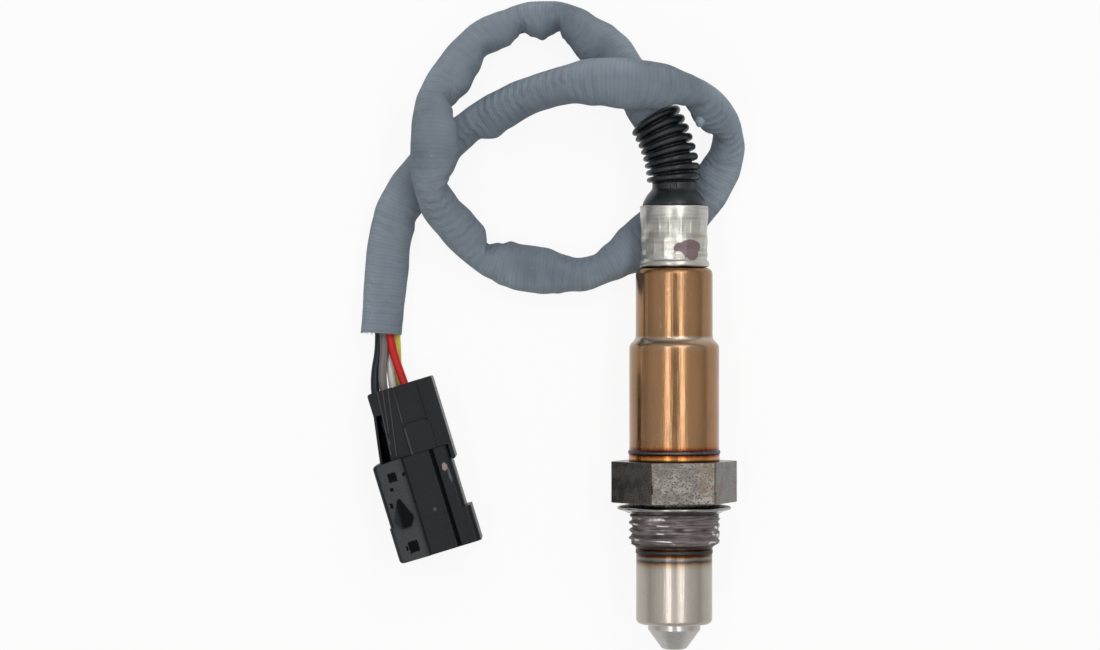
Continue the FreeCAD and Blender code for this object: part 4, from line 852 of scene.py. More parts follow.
# A soft-edged spot round a place, its outline ragged
blot_group, blot_in, blot_out = shader_group(
    "ragged_blot",
    [
        ("Vector", "vector", None),
        ("Middle", "vector", None),
        ("Reach", "vector", (1.0, 1.0, 1.0)),
        ("Ragged", "number", 0.5),
        ("Scale", "number", 420.0),
    ],
    [("Blot", "number")],
)
place, middle, reach, ragged, scale = list(blot_in.outputs)[:5]
away = put(blot_group, "VectorMath", {0: place, 1: middle}, operation="SUBTRACT").outputs[0]
away = put(blot_group, "VectorMath", {0: away, 1: reach}, operation="DIVIDE").outputs[0]
distance = put(blot_group, "VectorMath", {0: away}, operation="LENGTH").outputs["Value"]
uneven = sums(blot_group, "SUBTRACT", noise_at(blot_group, place, scale, 3.0), 0.5)
distance = scaled(blot_group, uneven, ragged, distance)
give_out(blot_group, blot_out, opposite(blot_group, stepped(blot_group, distance, 0.88, 1.02)))


def blot(tree, vector, middle, reach, ragged, scale=420.0):
    sockets = {"Vector": vector, "Middle": middle, "Reach": reach, "Ragged": ragged, "Scale": scale}
    return put(tree, "Group", sockets, node_tree=blot_group).outputs[0]


bright_steel, tree, shader, spot = new_material("bright_crimp_steel", Metallic=1.0)
wear = wear_of(tree, spot, (900.0, 9000.0, 900.0), 300.0)
turning = wear_of(tree, spot, (120.0, 2600.0, 120.0), 300.0)
grain = grain_of(tree, spot, 2600.0, 500.0)
colour = blend(tree, wear["Line"], rgb(0.37, 0.36, 0.34), rgb(0.64, 0.625, 0.59))
colour = blend(tree, wear["Smudge"], colour, rgb(0.50, 0.49, 0.44))
colour = layer(tree, colour, stepped(tree, turning["Line"], 0.50, 0.62), 0.45, rgb(0.22, 0.21, 0.19))
colour = layer(tree, colour, grain["Grit"], 0.25, rgb(0.33, 0.31, 0.28))
stain = 0.0
for middle, reach in STAIN_SPOTS:
    stain = sums(tree, "MAXIMUM", blot(tree, spot, middle, reach, 0.35), stain)
# The stain's lower left corner is wiped pale, with faint arcs round it
sockets = {0: spot, 1: ARC_MIDDLE}
from_corner = put(tree, "VectorMath", sockets, operation="DISTANCE").outputs["Value"]
arcs = sums(tree, "SINE", times(tree, from_corner, 2 * math.pi / ARC_PITCH))
pale = scaled(tree, stepped(tree, arcs, 0.0, 0.8), -0.45, 0.95)
pale = times(tree, blot(tree, spot, WIPED_CORNER, WIPED_REACH, 0.35), pale)
stain = times(tree, stain, opposite(tree, pale))
stain_colour = blend(tree, wear["Line"], rgb(0.115, 0.075, 0.078), rgb(0.26, 0.195, 0.195))
colour = blend(tree, stain, colour, stain_colour)
rough = scaled(tree, stain, 0.25, scaled(tree, wear["Smudge"], 0.10, 0.29))
height = scaled(tree, grain["Height"], 0.5, wear["Line"])
metallic = scaled(tree, stain, -0.6, 1.0)
set_finish(tree, shader, colour, rough, height, 0.03 * MM, metallic)
crimp = new_object("crimp_sleeve_dressed", crimp_bm, bright_steel)
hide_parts("crimp_sleeve")


# Protective sleeve: a deep-drawn stainless cup with one shoulder, turned golden brown by heat. Its foot
# is laser-welded round the housing's collar: a dark bead between two red-brown lines.
CUP_PROFILE = [
    (8.42, 10.32), (8.92, 10.32), (9.0, 10.42), (9.03, 10.65), (9.02, 11.50), (8.98, 11.66), (9.06, 11.76),
    (9.13, 11.92), (9.15, 12.08), (9.13, 12.24), (9.06, 12.40), (8.93, 12.50), (8.90, 12.70), (8.90, 20.0),
    (8.90, 28.0), (8.90, 32.5), (8.88, 32.9), (8.80, 33.2), (8.66, 33.45), (8.45, 33.70), (8.20, 33.95),
    (7.98, 34.20), (7.82, 34.45), (7.72, 34.70), (7.65, 35.00), (7.62, 35.40), (7.62, 40.0), (7.62, 47.0),
    (7.60, 47.40), (7.50, 47.80), (7.32, 48.12), (7.08, 48.34), (6.78, 48.48), (6.40, 48.54), (6.12, 48.52),
    (6.10, 48.10), (7.0, 48.0), (7.12, 47.3), (7.12, 35.2), (8.40, 33.2),
]
WELD_LEVELS = (11.7, 12.45)
cup_bm = turned(CUP_PROFILE, steps=128, closed=True)
for vertex in cup_bm.verts:
    level = vertex.co.y / MM
    angle = math.atan2(vertex.co.x, vertex.co.z)
    if WELD_LEVELS[0] < level < WELD_LEVELS[1] and math.hypot(vertex.co.x, vertex.co.z) > 8.5 * MM:
        vertex.co.y += 0.05 * MM * noise.noise(Vector((math.sin(angle) * 9, math.cos(angle) * 9, 0)))


def bands(tree, value, low, high, stops):
    """Colours along a value: each stop is a share between its lowest and highest, and a colour."""
    share = put(tree, "MapRange", {"Value": value, "From Min": low, "From Max": high}).outputs[0]
    ramp = put(tree, "ValToRGB", {0: share})
    elements = ramp.color_ramp.elements
    elements.remove(elements[1])
    elements[0].position, elements[0].color = stops[0]
    for position, colour in stops[1:]:
        elements.new(position).color = colour
    return ramp.outputs[0]


def within(tree, value, low, high, edge):
    """1 between two values, 0 beyond them, soft over an edge."""
    above = stepped(tree, value, low, low + edge)
    return times(tree, above, opposite(tree, stepped(tree, value, high, high + edge)))


tinted, tree, shader, spot = new_material("heat_tinted_steel", Metallic=1.0)
wear = wear_of(tree, spot, (7000.0, 220.0, 7000.0), 110.0)
level = put(tree, "SeparateXYZ", {0: spot}).outputs[1]
ragged = noise_at(tree, spot, 700.0, 3.0)
level = scaled(tree, sums(tree, "SUBTRACT", ragged, 0.5), 0.00035, level)
colour = bands(
    tree,
    level,
    0.0106,
    0.0146,
    [
        (0.0, rgb(0.26, 0.13, 0.05)), (0.09, rgb(0.46, 0.22, 0.060)), (0.17, rgb(0.36, 0.085, 0.018)),
        (0.245, rgb(0.065, 0.009, 0.004)), (0.29, rgb(0.040, 0.034, 0.031)),
        (0.37, rgb(0.10, 0.090, 0.082)), (0.45, rgb(0.040, 0.034, 0.031)),
        (0.49, rgb(0.050, 0.008, 0.004)), (0.55, rgb(0.17, 0.035, 0.010)),
        (0.68, rgb(0.31, 0.140, 0.050)), (1.0, rgb(0.325, 0.178, 0.088)),
    ],
)
upper = bands(
    tree,
    level,
    0.0300,
    0.0490,
    [
        (0.0, rgb(0.325, 0.180, 0.090)), (0.10, rgb(0.32, 0.18, 0.09)), (0.19, rgb(0.36, 0.26, 0.175)),
        (0.235, rgb(0.50, 0.45, 0.39)), (0.27, rgb(0.27, 0.155, 0.08)), (0.5, rgb(0.325, 0.178, 0.088)),
        (0.90, rgb(0.31, 0.165, 0.078)), (0.965, rgb(0.24, 0.11, 0.045)), (1.0, rgb(0.11, 0.045, 0.024)),
    ],
)
colour = blend(tree, stepped(tree, level, 0.0290, 0.0310), colour, upper)
free = stepped(tree, level, 0.0125, 0.0145)
grit = grain_of(tree, spot, 3800.0, 700.0)
colour = layer(tree, colour, times(tree, wear["Smudge"], free), 0.40, rgb(0.235, 0.140, 0.080))
colour = layer(tree, colour, times(tree, wear["Line"], free), 0.22, rgb(0.42, 0.245, 0.12))
colour = layer(tree, colour, times(tree, grit["Grit"], free), 0.22, rgb(0.19, 0.105, 0.055))
colour = layer(tree, colour, wear["Scratch"], 0.5, rgb(0.46, 0.33, 0.23))
bead = within(tree, level, 0.01160, 0.01240, 0.00015)
rough = scaled(tree, bead, 0.22, scaled(tree, wear["Smudge"], 0.06, 0.185))
height = scaled(tree, bead, times(tree, ragged, 3.0), wear["Line"])
set_finish(tree, shader, colour, rough, height, 0.02 * MM)
cup = new_object("protective_sleeve_dressed", cup_bm, tinted)
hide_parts("protective_sleeve")


# Hexagon housing: turned and milled from steel bar, 22 mm across flats, its faces grey and pitted with
# scale. The M18 x 1.5 thread below it is smeared with violet-grey anti-seize paste.
HEX_CORNER = 11.0 / math.cos(math.radians(30))
HEX_TURN = math.radians(7.6)
HEX_FOOT = 2.14
HEX_TOP = 10.3
NICK_LEVEL = 4.46
NICK_HALF_WIDTH = 0.30
NICK_DEPTH = 0.42
HOUSING_PROFILE = [
    (5.3, -10.4), (6.98, -10.4), (6.98, -7.0), (7.6, -6.9), (7.7, -6.3), (8.1, 0.4), (8.1, 2.3),
    (8.38, 10.1), (8.38, 14.4), (6.3, 14.4), (6.3, -1.0), (5.3, -2.0),
]
THREAD_PITCH = 1.5
THREAD_START = 0.2
THREAD_STEP = 0.11
THREAD_RINGS = 63
THREAD_CORE = 8.12
THREAD_DEPTH = 0.88
housing_bm = turned(HOUSING_PROFILE, closed=True)
facing_up = Matrix.Rotation(HEX_TURN, 4, "Y") @ Matrix.Translation((0, HEX_FOOT * MM, 0))
facing_up @= Matrix.Rotation(math.radians(90), 4, "X") @ Matrix.Rotation(math.radians(90), 4, "Z")
hexagon = bmesh.ops.create_circle(
    housing_bm, cap_ends=True, segments=6, radius=HEX_CORNER * MM, matrix=facing_up
)
hex_face = next(face for face in hexagon["verts"][0].link_faces)
grown = bmesh.ops.extrude_face_region(housing_bm, geom=[hex_face], use_keep_orig=True)
top_corners = [item for item in grown["geom"] if isinstance(item, bmesh.types.BMVert)]
bmesh.ops.translate(housing_bm, verts=top_corners, vec=(0, (HEX_TOP - HEX_FOOT) * MM, 0))
hex_corners = set(hexagon["verts"]) | set(top_corners)
upright = [
    edge
    for edge in housing_bm.edges
    if set(edge.verts) <= hex_corners and abs(edge.verts[0].co.y - edge.verts[1].co.y) > 5 * MM
]
rounded = round_off(housing_bm, upright, 0.30, 2, clamp=True)
hex_corners = {vertex for vertex in hex_corners if vertex.is_valid} | set(rounded["verts"])
for level in (NICK_LEVEL - NICK_HALF_WIDTH, NICK_LEVEL, NICK_LEVEL + NICK_HALF_WIDTH):
    hex_edges = [edge for edge in housing_bm.edges if set(edge.verts) <= hex_corners]
    hex_faces = [face for face in housing_bm.faces if set(face.verts) <= hex_corners]
    cut = bmesh.ops.bisect_plane(
        housing_bm,
        geom=list(hex_corners) + hex_edges + hex_faces,
        plane_co=(0, level * MM, 0),
        plane_no=(0, 1, 0),
        dist=1e-8,
    )
    cut_corners = [item for item in cut["geom_cut"] if isinstance(item, bmesh.types.BMVert)]
    hex_corners |= set(cut_corners)
    # A nick in each corner, left by the cutting tool
    farthest = max(math.hypot(vertex.co.x, vertex.co.z) for vertex in cut_corners)
    for vertex in cut_corners:
        if level == NICK_LEVEL and math.hypot(vertex.co.x, vertex.co.z) > farthest - 0.02 * MM:
            vertex.co.x *= 1 - NICK_DEPTH / HEX_CORNER
            vertex.co.z *= 1 - NICK_DEPTH / HEX_CORNER
hex_edges = [
    edge
    for edge in housing_bm.edges
    if set(edge.verts) <= hex_corners
    and abs(edge.verts[0].co.y - edge.verts[1].co.y) < 0.01 * MM
    and any(abs(edge.verts[0].co.y - end * MM) < 0.01 * MM for end in (HEX_FOOT, HEX_TOP))
]
round_off(housing_bm, hex_edges, 0.12, 2, clamp=True)
# Thread: a right-hand helix with a pitch of 1.5 mm, the paste lying in its valleys and over its crests


def part_way(value, low, high):
    """How far a value is on the way from one to another, no less than 0 and no more than 1."""
    return min(max((value - low) / (high - low), 0.0), 1.0)


def thread_radius(level, angle):
    """The thread's radius at a level and an angle, in millimetres, with the paste on it."""
    turns = level / THREAD_PITCH + angle / (2 * math.pi)
    tooth = part_way(1 - 2 * abs((turns % 1.0) - 0.5), 0.12, 0.88)
    runout = part_way(-level, -0.25, 0.65) * part_way(level, -6.6, -5.9)
    thread = THREAD_CORE + THREAD_DEPTH * tooth * (0.25 + 0.75 * runout)
    lump = Vector((math.sin(angle) * 3.0, level * 1.5, math.cos(angle) * 3.0))
    drag = Vector((math.sin(angle) * 3.5, level * 6.5, math.cos(angle) * 3.5))
    paste = 8.60 + 0.42 * noise.noise(lump) + 0.16 * noise.noise(drag) + 0.26 * tooth
    paste += 0.12 if math.sin(angle) > 0.2 else 0.0
    paste -= 0.30 * part_way(-math.sin(angle), 0.80, 0.95)
    radius = max(thread, min(paste, 9.22))
    return min(radius, 8.3 + max(0.1 - level, 0) * 1.6, 7.72 + max(level + 6.55, 0) * 1.8)


thread_rings = []
for step in range(THREAD_RINGS):
    level = THREAD_START - THREAD_STEP * step
    turn_up = Matrix.Translation((0, level * MM, 0)) @ Matrix.Rotation(math.radians(-90), 4, "X")
    ring = ring_of(housing_bm, turn_up, 120, 8.1 * MM)
    for vertex in ring:
        angle = math.atan2(vertex.co.x, vertex.co.z)
        radius = thread_radius(level, angle) * MM
        vertex.co.x, vertex.co.z = radius * math.sin(angle), radius * math.cos(angle)
    thread_rings.append(ring)
thread_faces = join_rings(housing_bm, thread_rings)
thread_faces += close_ring(housing_bm, thread_rings[0])
thread_faces += close_ring(housing_bm, thread_rings[-1])
bmesh.ops.recalc_face_normals(housing_bm, faces=housing_bm.faces)
for face in thread_faces:
    face.material_index = 1
for face in housing_bm.faces:
    face.smooth = face.material_index == 1

scaled_steel, tree, shader, spot = new_material("scaled_bar_steel", Metallic=0.85)
grain = grain_of(tree, spot, 2300.0, 420.0)
coarse = grain_of(tree, spot, 1100.0, 150.0)
colour = blend(tree, grain["Grit"], rgb(0.050, 0.045, 0.040), rgb(0.125, 0.113, 0.102))
colour = layer(tree, colour, coarse["Spot"], 0.4, rgb(0.085, 0.076, 0.067))
colour = layer(tree, colour, stepped(tree, coarse["Height"], 0.50, 0.64), 0.22, rgb(0.18, 0.165, 0.15))
# Painted light: brown scale spots are laid only from the middle to the right, so the housing's right side is
# painted lighter than its left.
painted_light_right_side = stepped(tree, put(tree, "SeparateXYZ", {0: spot}).outputs[0], 0.0035, 0.0062)
colour = layer(tree, colour, times(tree, painted_light_right_side, grain["Spot"]), 0.35, rgb(0.19, 0.125, 0.08))
height = scaled(tree, coarse["Height"], 0.3, grain["Grit"])
set_finish(tree, shader, colour, scaled(tree, grain["Spot"], 0.14, 0.26), height, 0.015 * MM)
paste, tree, shader, spot = new_material("violet_grey_paste_on_thread", Specular_IOR_Level=0.4)
grain = grain_of(tree, spot, 1800.0, 380.0)
from_axis = stretched(tree, spot, (1.0, 0.0, 1.0))
radius = put(tree, "VectorMath", {0: from_axis}, operation="LENGTH").outputs["Value"]
bare_place = stepped(tree, noise_at(tree, spot, 210.0, 2.0), 0.55, 0.61)
bare = times(tree, stepped(tree, radius, 0.00886, 0.00898), bare_place)
# Painted shade: where the thread's valleys show through the paste they are painted near black.
painted_valley_shade = opposite(tree, stepped(tree, radius, 0.0083, 0.00875))
streaks = noise_at(tree, stretched(tree, spot, (260.0, 3600.0, 260.0)), 0.9, 3.0)
colour = blend(tree, grain["Spot"], rgb(0.175, 0.145, 0.142), rgb(0.270, 0.235, 0.232))
colour = blend(tree, stepped(tree, streaks, 0.34, 0.60), rgb(0.085, 0.066, 0.066), colour)
colour = blend(tree, painted_valley_shade, colour, rgb(0.022, 0.016, 0.017))
colour = blend(tree, bare, colour, rgb(0.62, 0.60, 0.58))
rough = scaled(tree, bare, -0.27, scaled(tree, grain["Spot"], 0.15, 0.50))
height = scaled(tree, streaks, 0.8, grain["Height"])
set_finish(tree, shader, colour, rough, height, 0.12 * MM, bare)
housing = in_scene("threaded_hexagon", housing_bm, scaled_steel, paste)
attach(housing, "root")
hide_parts("hex_housing")


# Sealing ring: a captive gasket folded from steel sheet, dished a little, free to turn on the neck.
# Its lower face meets the exhaust boss.
RING_SHAPE = [
    (8.45, 0.06), (8.7, 0.0), (9.15, 0.02), (9.5, 0.20), (9.9, 0.42), (10.4, 0.58), (10.9, 0.70),
    (11.15, 0.80), (11.27, 0.95), (11.28, 1.10), (11.2, 1.26), (11.0, 1.38), (10.6, 1.46),
    (10.1, 1.52), (9.5, 1.60), (9.0, 1.68), (8.6, 1.68), (8.45, 1.55), (8.45, 1.15), (9.4, 1.08),
    (10.2, 1.0), (10.2, 0.90), (9.4, 0.72), (8.45, 0.62),
]
ring_bm = turned(RING_SHAPE, steps=120, closed=True)


def brushed_steel(name, lines, smudges, dark, light, smudged, roughness):
    """Bright steel with brushed lines and smudges; the roughness is what it starts from and gains."""
    material, tree, shader, spot = new_material(name, Metallic=1.0)
    wear = wear_of(tree, spot, lines, smudges)
    colour = blend(tree, wear["Smudge"], blend(tree, wear["Line"], dark, light), smudged)
    start, gain = roughness
    set_finish(tree, shader, colour, scaled(tree, wear["Smudge"], gain, start), wear["Line"], 0.03 * MM)
    return material


ring_steel = brushed_steel(
    "folded_ring_steel",
    (700.0, 9000.0, 700.0),
    260.0,
    rgb(0.20, 0.195, 0.185),
    rgb(0.38, 0.375, 0.36),
    rgb(0.17, 0.155, 0.145),
    (0.20, 0.14),
)
gasket = new_object("dished_sealing_ring", ring_bm, ring_steel)
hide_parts("sealing_ring")


# Protection tubes: an outer and an inner tube drawn from thin stainless sheet, the outer one welded to
# the housing's nose. Near the weld the pale steel is tinted blue and brown by its heat.
WELD_PROFILE = [
    (7.48, -8.02), (7.57, -7.96), (7.63, -7.80), (7.65, -7.50), (7.63, -7.22), (7.57, -7.08), (7.48, -7.02),
]
NOSE_START = -6.2
bead_bm = turned(WELD_PROFILE, steps=128, closed=True)
for vertex in bead_bm.verts:
    angle = math.atan2(vertex.co.x, vertex.co.z)
    vertex.co.y += 0.07 * MM * noise.noise(Vector((math.sin(angle) * 8, math.cos(angle) * 8, 5)))
tube_steel, tree, shader, spot = new_material("pale_tinted_tube_steel", Metallic=1.0)
wear = wear_of(tree, spot, (6000.0, 200.0, 6000.0), 130.0)
level = put(tree, "SeparateXYZ", {0: spot}).outputs[1]
ragged = noise_at(tree, spot, 420.0, 3.0)
level = scaled(tree, sums(tree, "SUBTRACT", ragged, 0.5), 0.0005, level)
colour = bands(
    tree,
    level,
    -0.0115,
    -0.0060,
    [
        (0.0, rgb(0.44, 0.395, 0.350)), (0.14, rgb(0.41, 0.36, 0.295)), (0.26, rgb(0.30, 0.215, 0.13)),
        (0.345, rgb(0.17, 0.080, 0.034)), (0.395, rgb(0.062, 0.034, 0.022)),
        (0.435, rgb(0.095, 0.112, 0.122)), (0.50, rgb(0.185, 0.195, 0.195)),
        (0.545, rgb(0.20, 0.115, 0.055)), (0.59, rgb(0.075, 0.018, 0.007)),
        (0.635, rgb(0.045, 0.013, 0.007)), (0.66, rgb(0.024, 0.023, 0.022)),
        (0.73, rgb(0.055, 0.052, 0.050)), (0.79, rgb(0.022, 0.020, 0.020)),
        (0.82, rgb(0.045, 0.013, 0.007)), (0.89, rgb(0.075, 0.034, 0.018)),
        (1.0, rgb(0.045, 0.028, 0.018)),
    ],
)
free = opposite(tree, stepped(tree, level, -0.0105, -0.0092))
grit = grain_of(tree, spot, 3800.0, 700.0)
colour = layer(tree, colour, times(tree, wear["Smudge"], free), 0.35, rgb(0.33, 0.305, 0.27))
colour = layer(tree, colour, times(tree, wear["Line"], free), 0.16, rgb(0.50, 0.47, 0.43))
colour = layer(tree, colour, times(tree, grit["Grit"], free), 0.25, rgb(0.27, 0.245, 0.215))
weld = within(tree, level, -0.0080, -0.0073, 0.0002)
rough = scaled(tree, weld, 0.2, scaled(tree, wear["Smudge"], 0.03, 0.275))
set_finish(tree, shader, colour, rough, scaled(tree, weld, ragged, wear["Line"]), 0.03 * MM)
housing.data.materials.append(tube_steel)
for polygon in housing.data.polygons:
    if polygon.center.y < NOSE_START * MM and polygon.material_index == 0:
        polygon.material_index = 2
bead = new_object("tube_weld_bead", bead_bm, tube_steel)


def dress(material, *names):
    """Gives CAD nodes a material."""
    for name in names:
        mesh = nodes[name].data
        mesh.materials.clear()
        mesh.materials.append(material)


dress(tube_steel, "outer_protection_tube")
nose_steel = brushed_steel(
    "grey_nose_steel",
    (800.0, 6000.0, 800.0),
    240.0,
    rgb(0.34, 0.335, 0.32),
    rgb(0.54, 0.53, 0.51),
    rgb(0.44, 0.42, 0.39),
    (0.26, 0.12),
)
dress(nose_steel, "inner_protection_tube", "retaining_ring")


# Inside the sensor: the zirconia strip in its pressed packing of steatite bushes and talc, the ceramic
# contact holders with their spring ring and contacts, and the plug's terminals, seals and resistor.
def plain_finish(name, dark, light, roughness, metallic=0.0, scale=1500.0):
    material, tree, shader, spot = new_material(name, Metallic=metallic)
    grain = grain_of(tree, spot, scale, scale / 8)
    colour = blend(tree, grain["Spot"], dark, light)
    set_finish(tree, shader, colour, scaled(tree, grain["Spot"], 0.12, roughness), grain["Height"], 0.03 * MM)
    return material


strip_ceramic = plain_finish("fired_strip_ceramic", rgb(0.62, 0.60, 0.55), rgb(0.72, 0.70, 0.66), 0.5)
steatite = plain_finish("steatite_bush", rgb(0.66, 0.62, 0.52), rgb(0.76, 0.72, 0.63), 0.6)
talc = plain_finish("pressed_talc", rgb(0.50, 0.50, 0.47), rgb(0.62, 0.61, 0.58), 0.85, scale=2600.0)
spring_metal = plain_finish("spring_contact_metal", rgb(0.50, 0.47, 0.42), rgb(0.62, 0.59, 0.54), 0.28, 1.0)
seal_rubber = plain_finish("seal_rubber_green_grey", rgb(0.06, 0.075, 0.06), rgb(0.09, 0.11, 0.09), 0.5)
chip_ceramic = plain_finish("chip_resistor_ceramic", rgb(0.05, 0.06, 0.09), rgb(0.09, 0.10, 0.13), 0.45)
dress(strip_ceramic, "sensing_element")
dress(steatite, "lower_ceramic_bush", "upper_ceramic_bush", "contact_holder_front", "contact_holder_rear")
dress(talc, "talc_seal")
dress(spring_metal, "contact_spring_clip", "terminal_trim")
dress(seal_rubber, "cavity_plug")
dress(chip_ceramic, "trim_resistor")
for name in WIRES:
    dress(spring_metal, "contact_" + name, "terminal_" + name)
    dress(seal_rubber, "wire_seal_" + name)


# Plug: housing, wire cover and terminal lock injection-moulded from black glass-filled nylon and snapped
# together. Its flat strip on top is greyer, with square mould pits painted near black as painted shade; a
# pale pink spot, a blue-grey scrape and a dull spot lie beside it.
PLUG_CORNER = (-54.54 * MM, 25.27 * MM, -5.24 * MM)
PLUG_TURN = math.radians(17)
PLUG_PLACE = Matrix.Translation(PLUG_CORNER) @ Matrix.Rotation(PLUG_TURN, 4, "Z")
HOOK_PLACE = (-5.15, -10.2, 5.2)
HOOD_ENDS = (-13.9, -34.0)
COVER_END = -13.8
COVER_GAP = 0.11
# Pits of the mould: where they lie across and along the plug, half their width, half their length
PITS = [
    (-6.53, 17.05, 0.85, 0.92), (-4.14, 17.1, 0.28, 0.35), (-7.31, 19.36, 0.35, 0.35),
    (-8.27, 22.4, 0.30, 0.5), (-6.39, 31.35, 1.0, 1.15), (-7.75, 31.3, 0.2, 0.45),
]


def moulded_nylon(name, with_hood_marks):
    """Black moulded nylon; its second argument gives it the hood's marks, painted shade among them, instead
    of the wire cover's.
    """
    material, tree, shader, spot = new_material(name, Specular_IOR_Level=0.16)
    grain = grain_of(tree, spot, 4200.0, 300.0)
    haze = stepped(tree, noise_at(tree, spot, 95.0, 4.0, 0.65), 0.40, 0.68)
    colour = blend(tree, grain["Grit"], rgb(0.0050, 0.0062, 0.0080), rgb(0.0095, 0.0112, 0.0135))
    colour = layer(tree, colour, haze, 0.5, rgb(0.012, 0.0145, 0.019))
    sockets = {"Vector": spot, "Location": PLUG_CORNER, "Rotation": (0, 0, PLUG_TURN), "Scale": (MM, MM, MM)}
    local = put(tree, "Mapping", sockets, vector_type="TEXTURE").outputs[0]
    if with_hood_marks:
        colour, pits, dark = hood_marks(tree, local, grain, colour)
        specular = scaled(tree, dark, -0.12, 0.16)
        tree.links.new(specular, shader.inputs["Specular IOR Level"])
        height = scaled(tree, pits, -4.0, grain["Height"])
    else:
        colour = cover_marks(tree, local, colour)
        height = grain["Height"]
    set_finish(tree, shader, colour, scaled(tree, haze, 0.12, 0.36), height, 0.04 * MM)
    return material


def cover_marks(tree, local, colour):
    """The wire cover's ribs and hook are painted a little paler on top: painted highlights."""
    across, along, up = put(tree, "SeparateXYZ", {0: local}).outputs
    # Painted highlights on the tops of the ribs and of the hook.
    painted_highlight_tops = times(tree, stepped(tree, up, 5.38, 5.46), stepped(tree, across, -1.15, -1.35))
    hook = blot(tree, local, HOOK_PLACE, (0.3, 0.75, 0.6), 0.3, 2.0)
    return layer(tree, colour, sums(tree, "MAXIMUM", painted_highlight_tops, hook), 0.85, rgb(0.062, 0.063, 0.063))


def hood_marks(tree, local, grain, colour):
    """The hood's greyer strip; its ramp and pits painted dark, painted shade, with a paler painted highlight
    on the ramp's left; the pale pink spot and the dull spot; and masks of the dark.
    """
    across, along, up = put(tree, "SeparateXYZ", {0: local}).outputs
    top = stepped(tree, up, 6.30, 6.36)
    beside_ramp = stepped(tree, sums(tree, "ABSOLUTE", sums(tree, "ADD", along, 24.3)), 3.0, 3.1)
    ramp = times(tree, stepped(tree, up, 6.62, 6.67), opposite(tree, beside_ramp))
    strip = times(tree, top, opposite(tree, stepped(tree, across, -4.9, -3.4)))
    strip = times(tree, strip, opposite(tree, ramp))
    ramp = times(tree, ramp, opposite(tree, stepped(tree, across, -4.6, -3.7)))
    # Painted shade on the locking ramp, with a paler painted highlight on its left part.
    ramp_painted_shade_side = stepped(tree, across, -7.9, -7.0)
    ramp_shade = blend(tree, ramp_painted_shade_side, rgb(0.030, 0.033, 0.038), rgb(0.0012, 0.0016, 0.0020))
    colour = layer(tree, colour, ramp, 0.8, ramp_shade)
    strip_colour = blend(tree, grain["Grit"], rgb(0.027, 0.030, 0.033), rgb(0.050, 0.055, 0.059))
    colour = blend(tree, strip, colour, strip_colour)
    wobble = times(tree, sums(tree, "SUBTRACT", noise_at(tree, local, 2.6, 2.0), 0.5), 0.5)
    pits = 0.0
    for middle, place, half_width, half_length in PITS:
        side = sums(tree, "ABSOLUTE", sums(tree, "SUBTRACT", across, middle))
        end = sums(tree, "ABSOLUTE", sums(tree, "ADD", along, place))
        side = sums(tree, "DIVIDE", side, half_width)
        end = sums(tree, "DIVIDE", end, half_length)
        edge = sums(tree, "ADD", sums(tree, "MAXIMUM", side, end), wobble)
        pits = sums(tree, "MAXIMUM", opposite(tree, stepped(tree, edge, 0.86, 1.06)), pits)
    pits = times(tree, pits, top)
    # Painted shade: the mould pits are painted near black, besides the bump that presses them in.
    colour = blend(tree, pits, colour, rgb(0.002, 0.0024, 0.003))
    # A pale pinkish spot, a blue-grey scrape and a dull grey spot on the hood.
    pale_pink_spot = blot(tree, local, (4.0, -18.0, 6.0), (0.55, 0.85, 1.2), 0.8, 1.3)
    scrape = blot(tree, local, (4.5, -19.9, 6.0), (0.30, 1.5, 1.2), 0.8, 1.6)
    dull = blot(tree, local, (-0.28, -25.5, 6.0), (0.38, 0.45, 1.2), 0.8, 2.2)
    colour = layer(tree, colour, pale_pink_spot, 0.8, rgb(0.38, 0.29, 0.28))
    colour = layer(tree, colour, scrape, 0.7, rgb(0.10, 0.125, 0.155))
    colour = layer(tree, colour, dull, 0.6, rgb(0.10, 0.105, 0.11))
    return colour, pits, sums(tree, "MAXIMUM", pits, ramp)


def moulding_of(node):
    """A merged copy of a CAD node's mesh, laid straight: X across the plug, -Y along it, Z up."""
    bm = bmesh.new()
    bm.from_mesh(nodes[node].data)
    bmesh.ops.remove_doubles(bm, verts=bm.verts, dist=1e-6)
    bmesh.ops.dissolve_limit(bm, angle_limit=0.02, verts=bm.verts, edges=bm.edges)
    bmesh.ops.transform(bm, matrix=PLUG_PLACE.inverted(), verts=bm.verts)
    return bm


def outer_edges(bm):
    """The sharp edges on the outside of a moulding."""
    walls = [edge for edge in bm.edges if len(edge.link_faces) == 2]
    return [edge for edge in walls if edge.is_convex and edge.calc_face_angle(0) > 0.7]


def rise(edge, axis):
    """How far an edge reaches along an axis, in millimetres."""
    return abs(edge.verts[0].co[axis] - edge.verts[1].co[axis]) / MM


def placed_moulding(name, bm, node, material):
    bmesh.ops.transform(bm, matrix=PLUG_PLACE, verts=bm.verts)
    piece = new_object(name, bm, material, smooth=False)
    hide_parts(node)


def end_rim(bm):
    """The sharp edges round the outside of the hood's two ends."""
    middle_line = Vector((-2.0 * MM, 0, 0.3 * MM))
    rim = []
    for edge in outer_edges(bm):
        first, second = edge.verts[0].co, edge.verts[1].co
        level = min(HOOD_ENDS, key=lambda end: abs(first.y - end * MM)) * MM
        if max(abs(first.y - level), abs(second.y - level)) > 0.02 * MM:
            continue
        side = min(edge.link_faces, key=lambda face: abs(face.normal.y))
        centre = (first + second) / 2
        from_middle = Vector((centre.x, 0, centre.z)) - middle_line
        if side.normal.dot(from_middle) <= 0 or abs(side.normal.y) >= 0.3:
            continue
        if centre.x < -8.52 * MM or centre.x > 5 * MM or abs(centre.z) > 5.9 * MM:
            rim.append(edge)
    return rim


def on_hood_roof(edge):
    return all(-4.1 * MM < vertex.co.x < 3.0 * MM and vertex.co.z > 5.7 * MM for vertex in edge.verts)


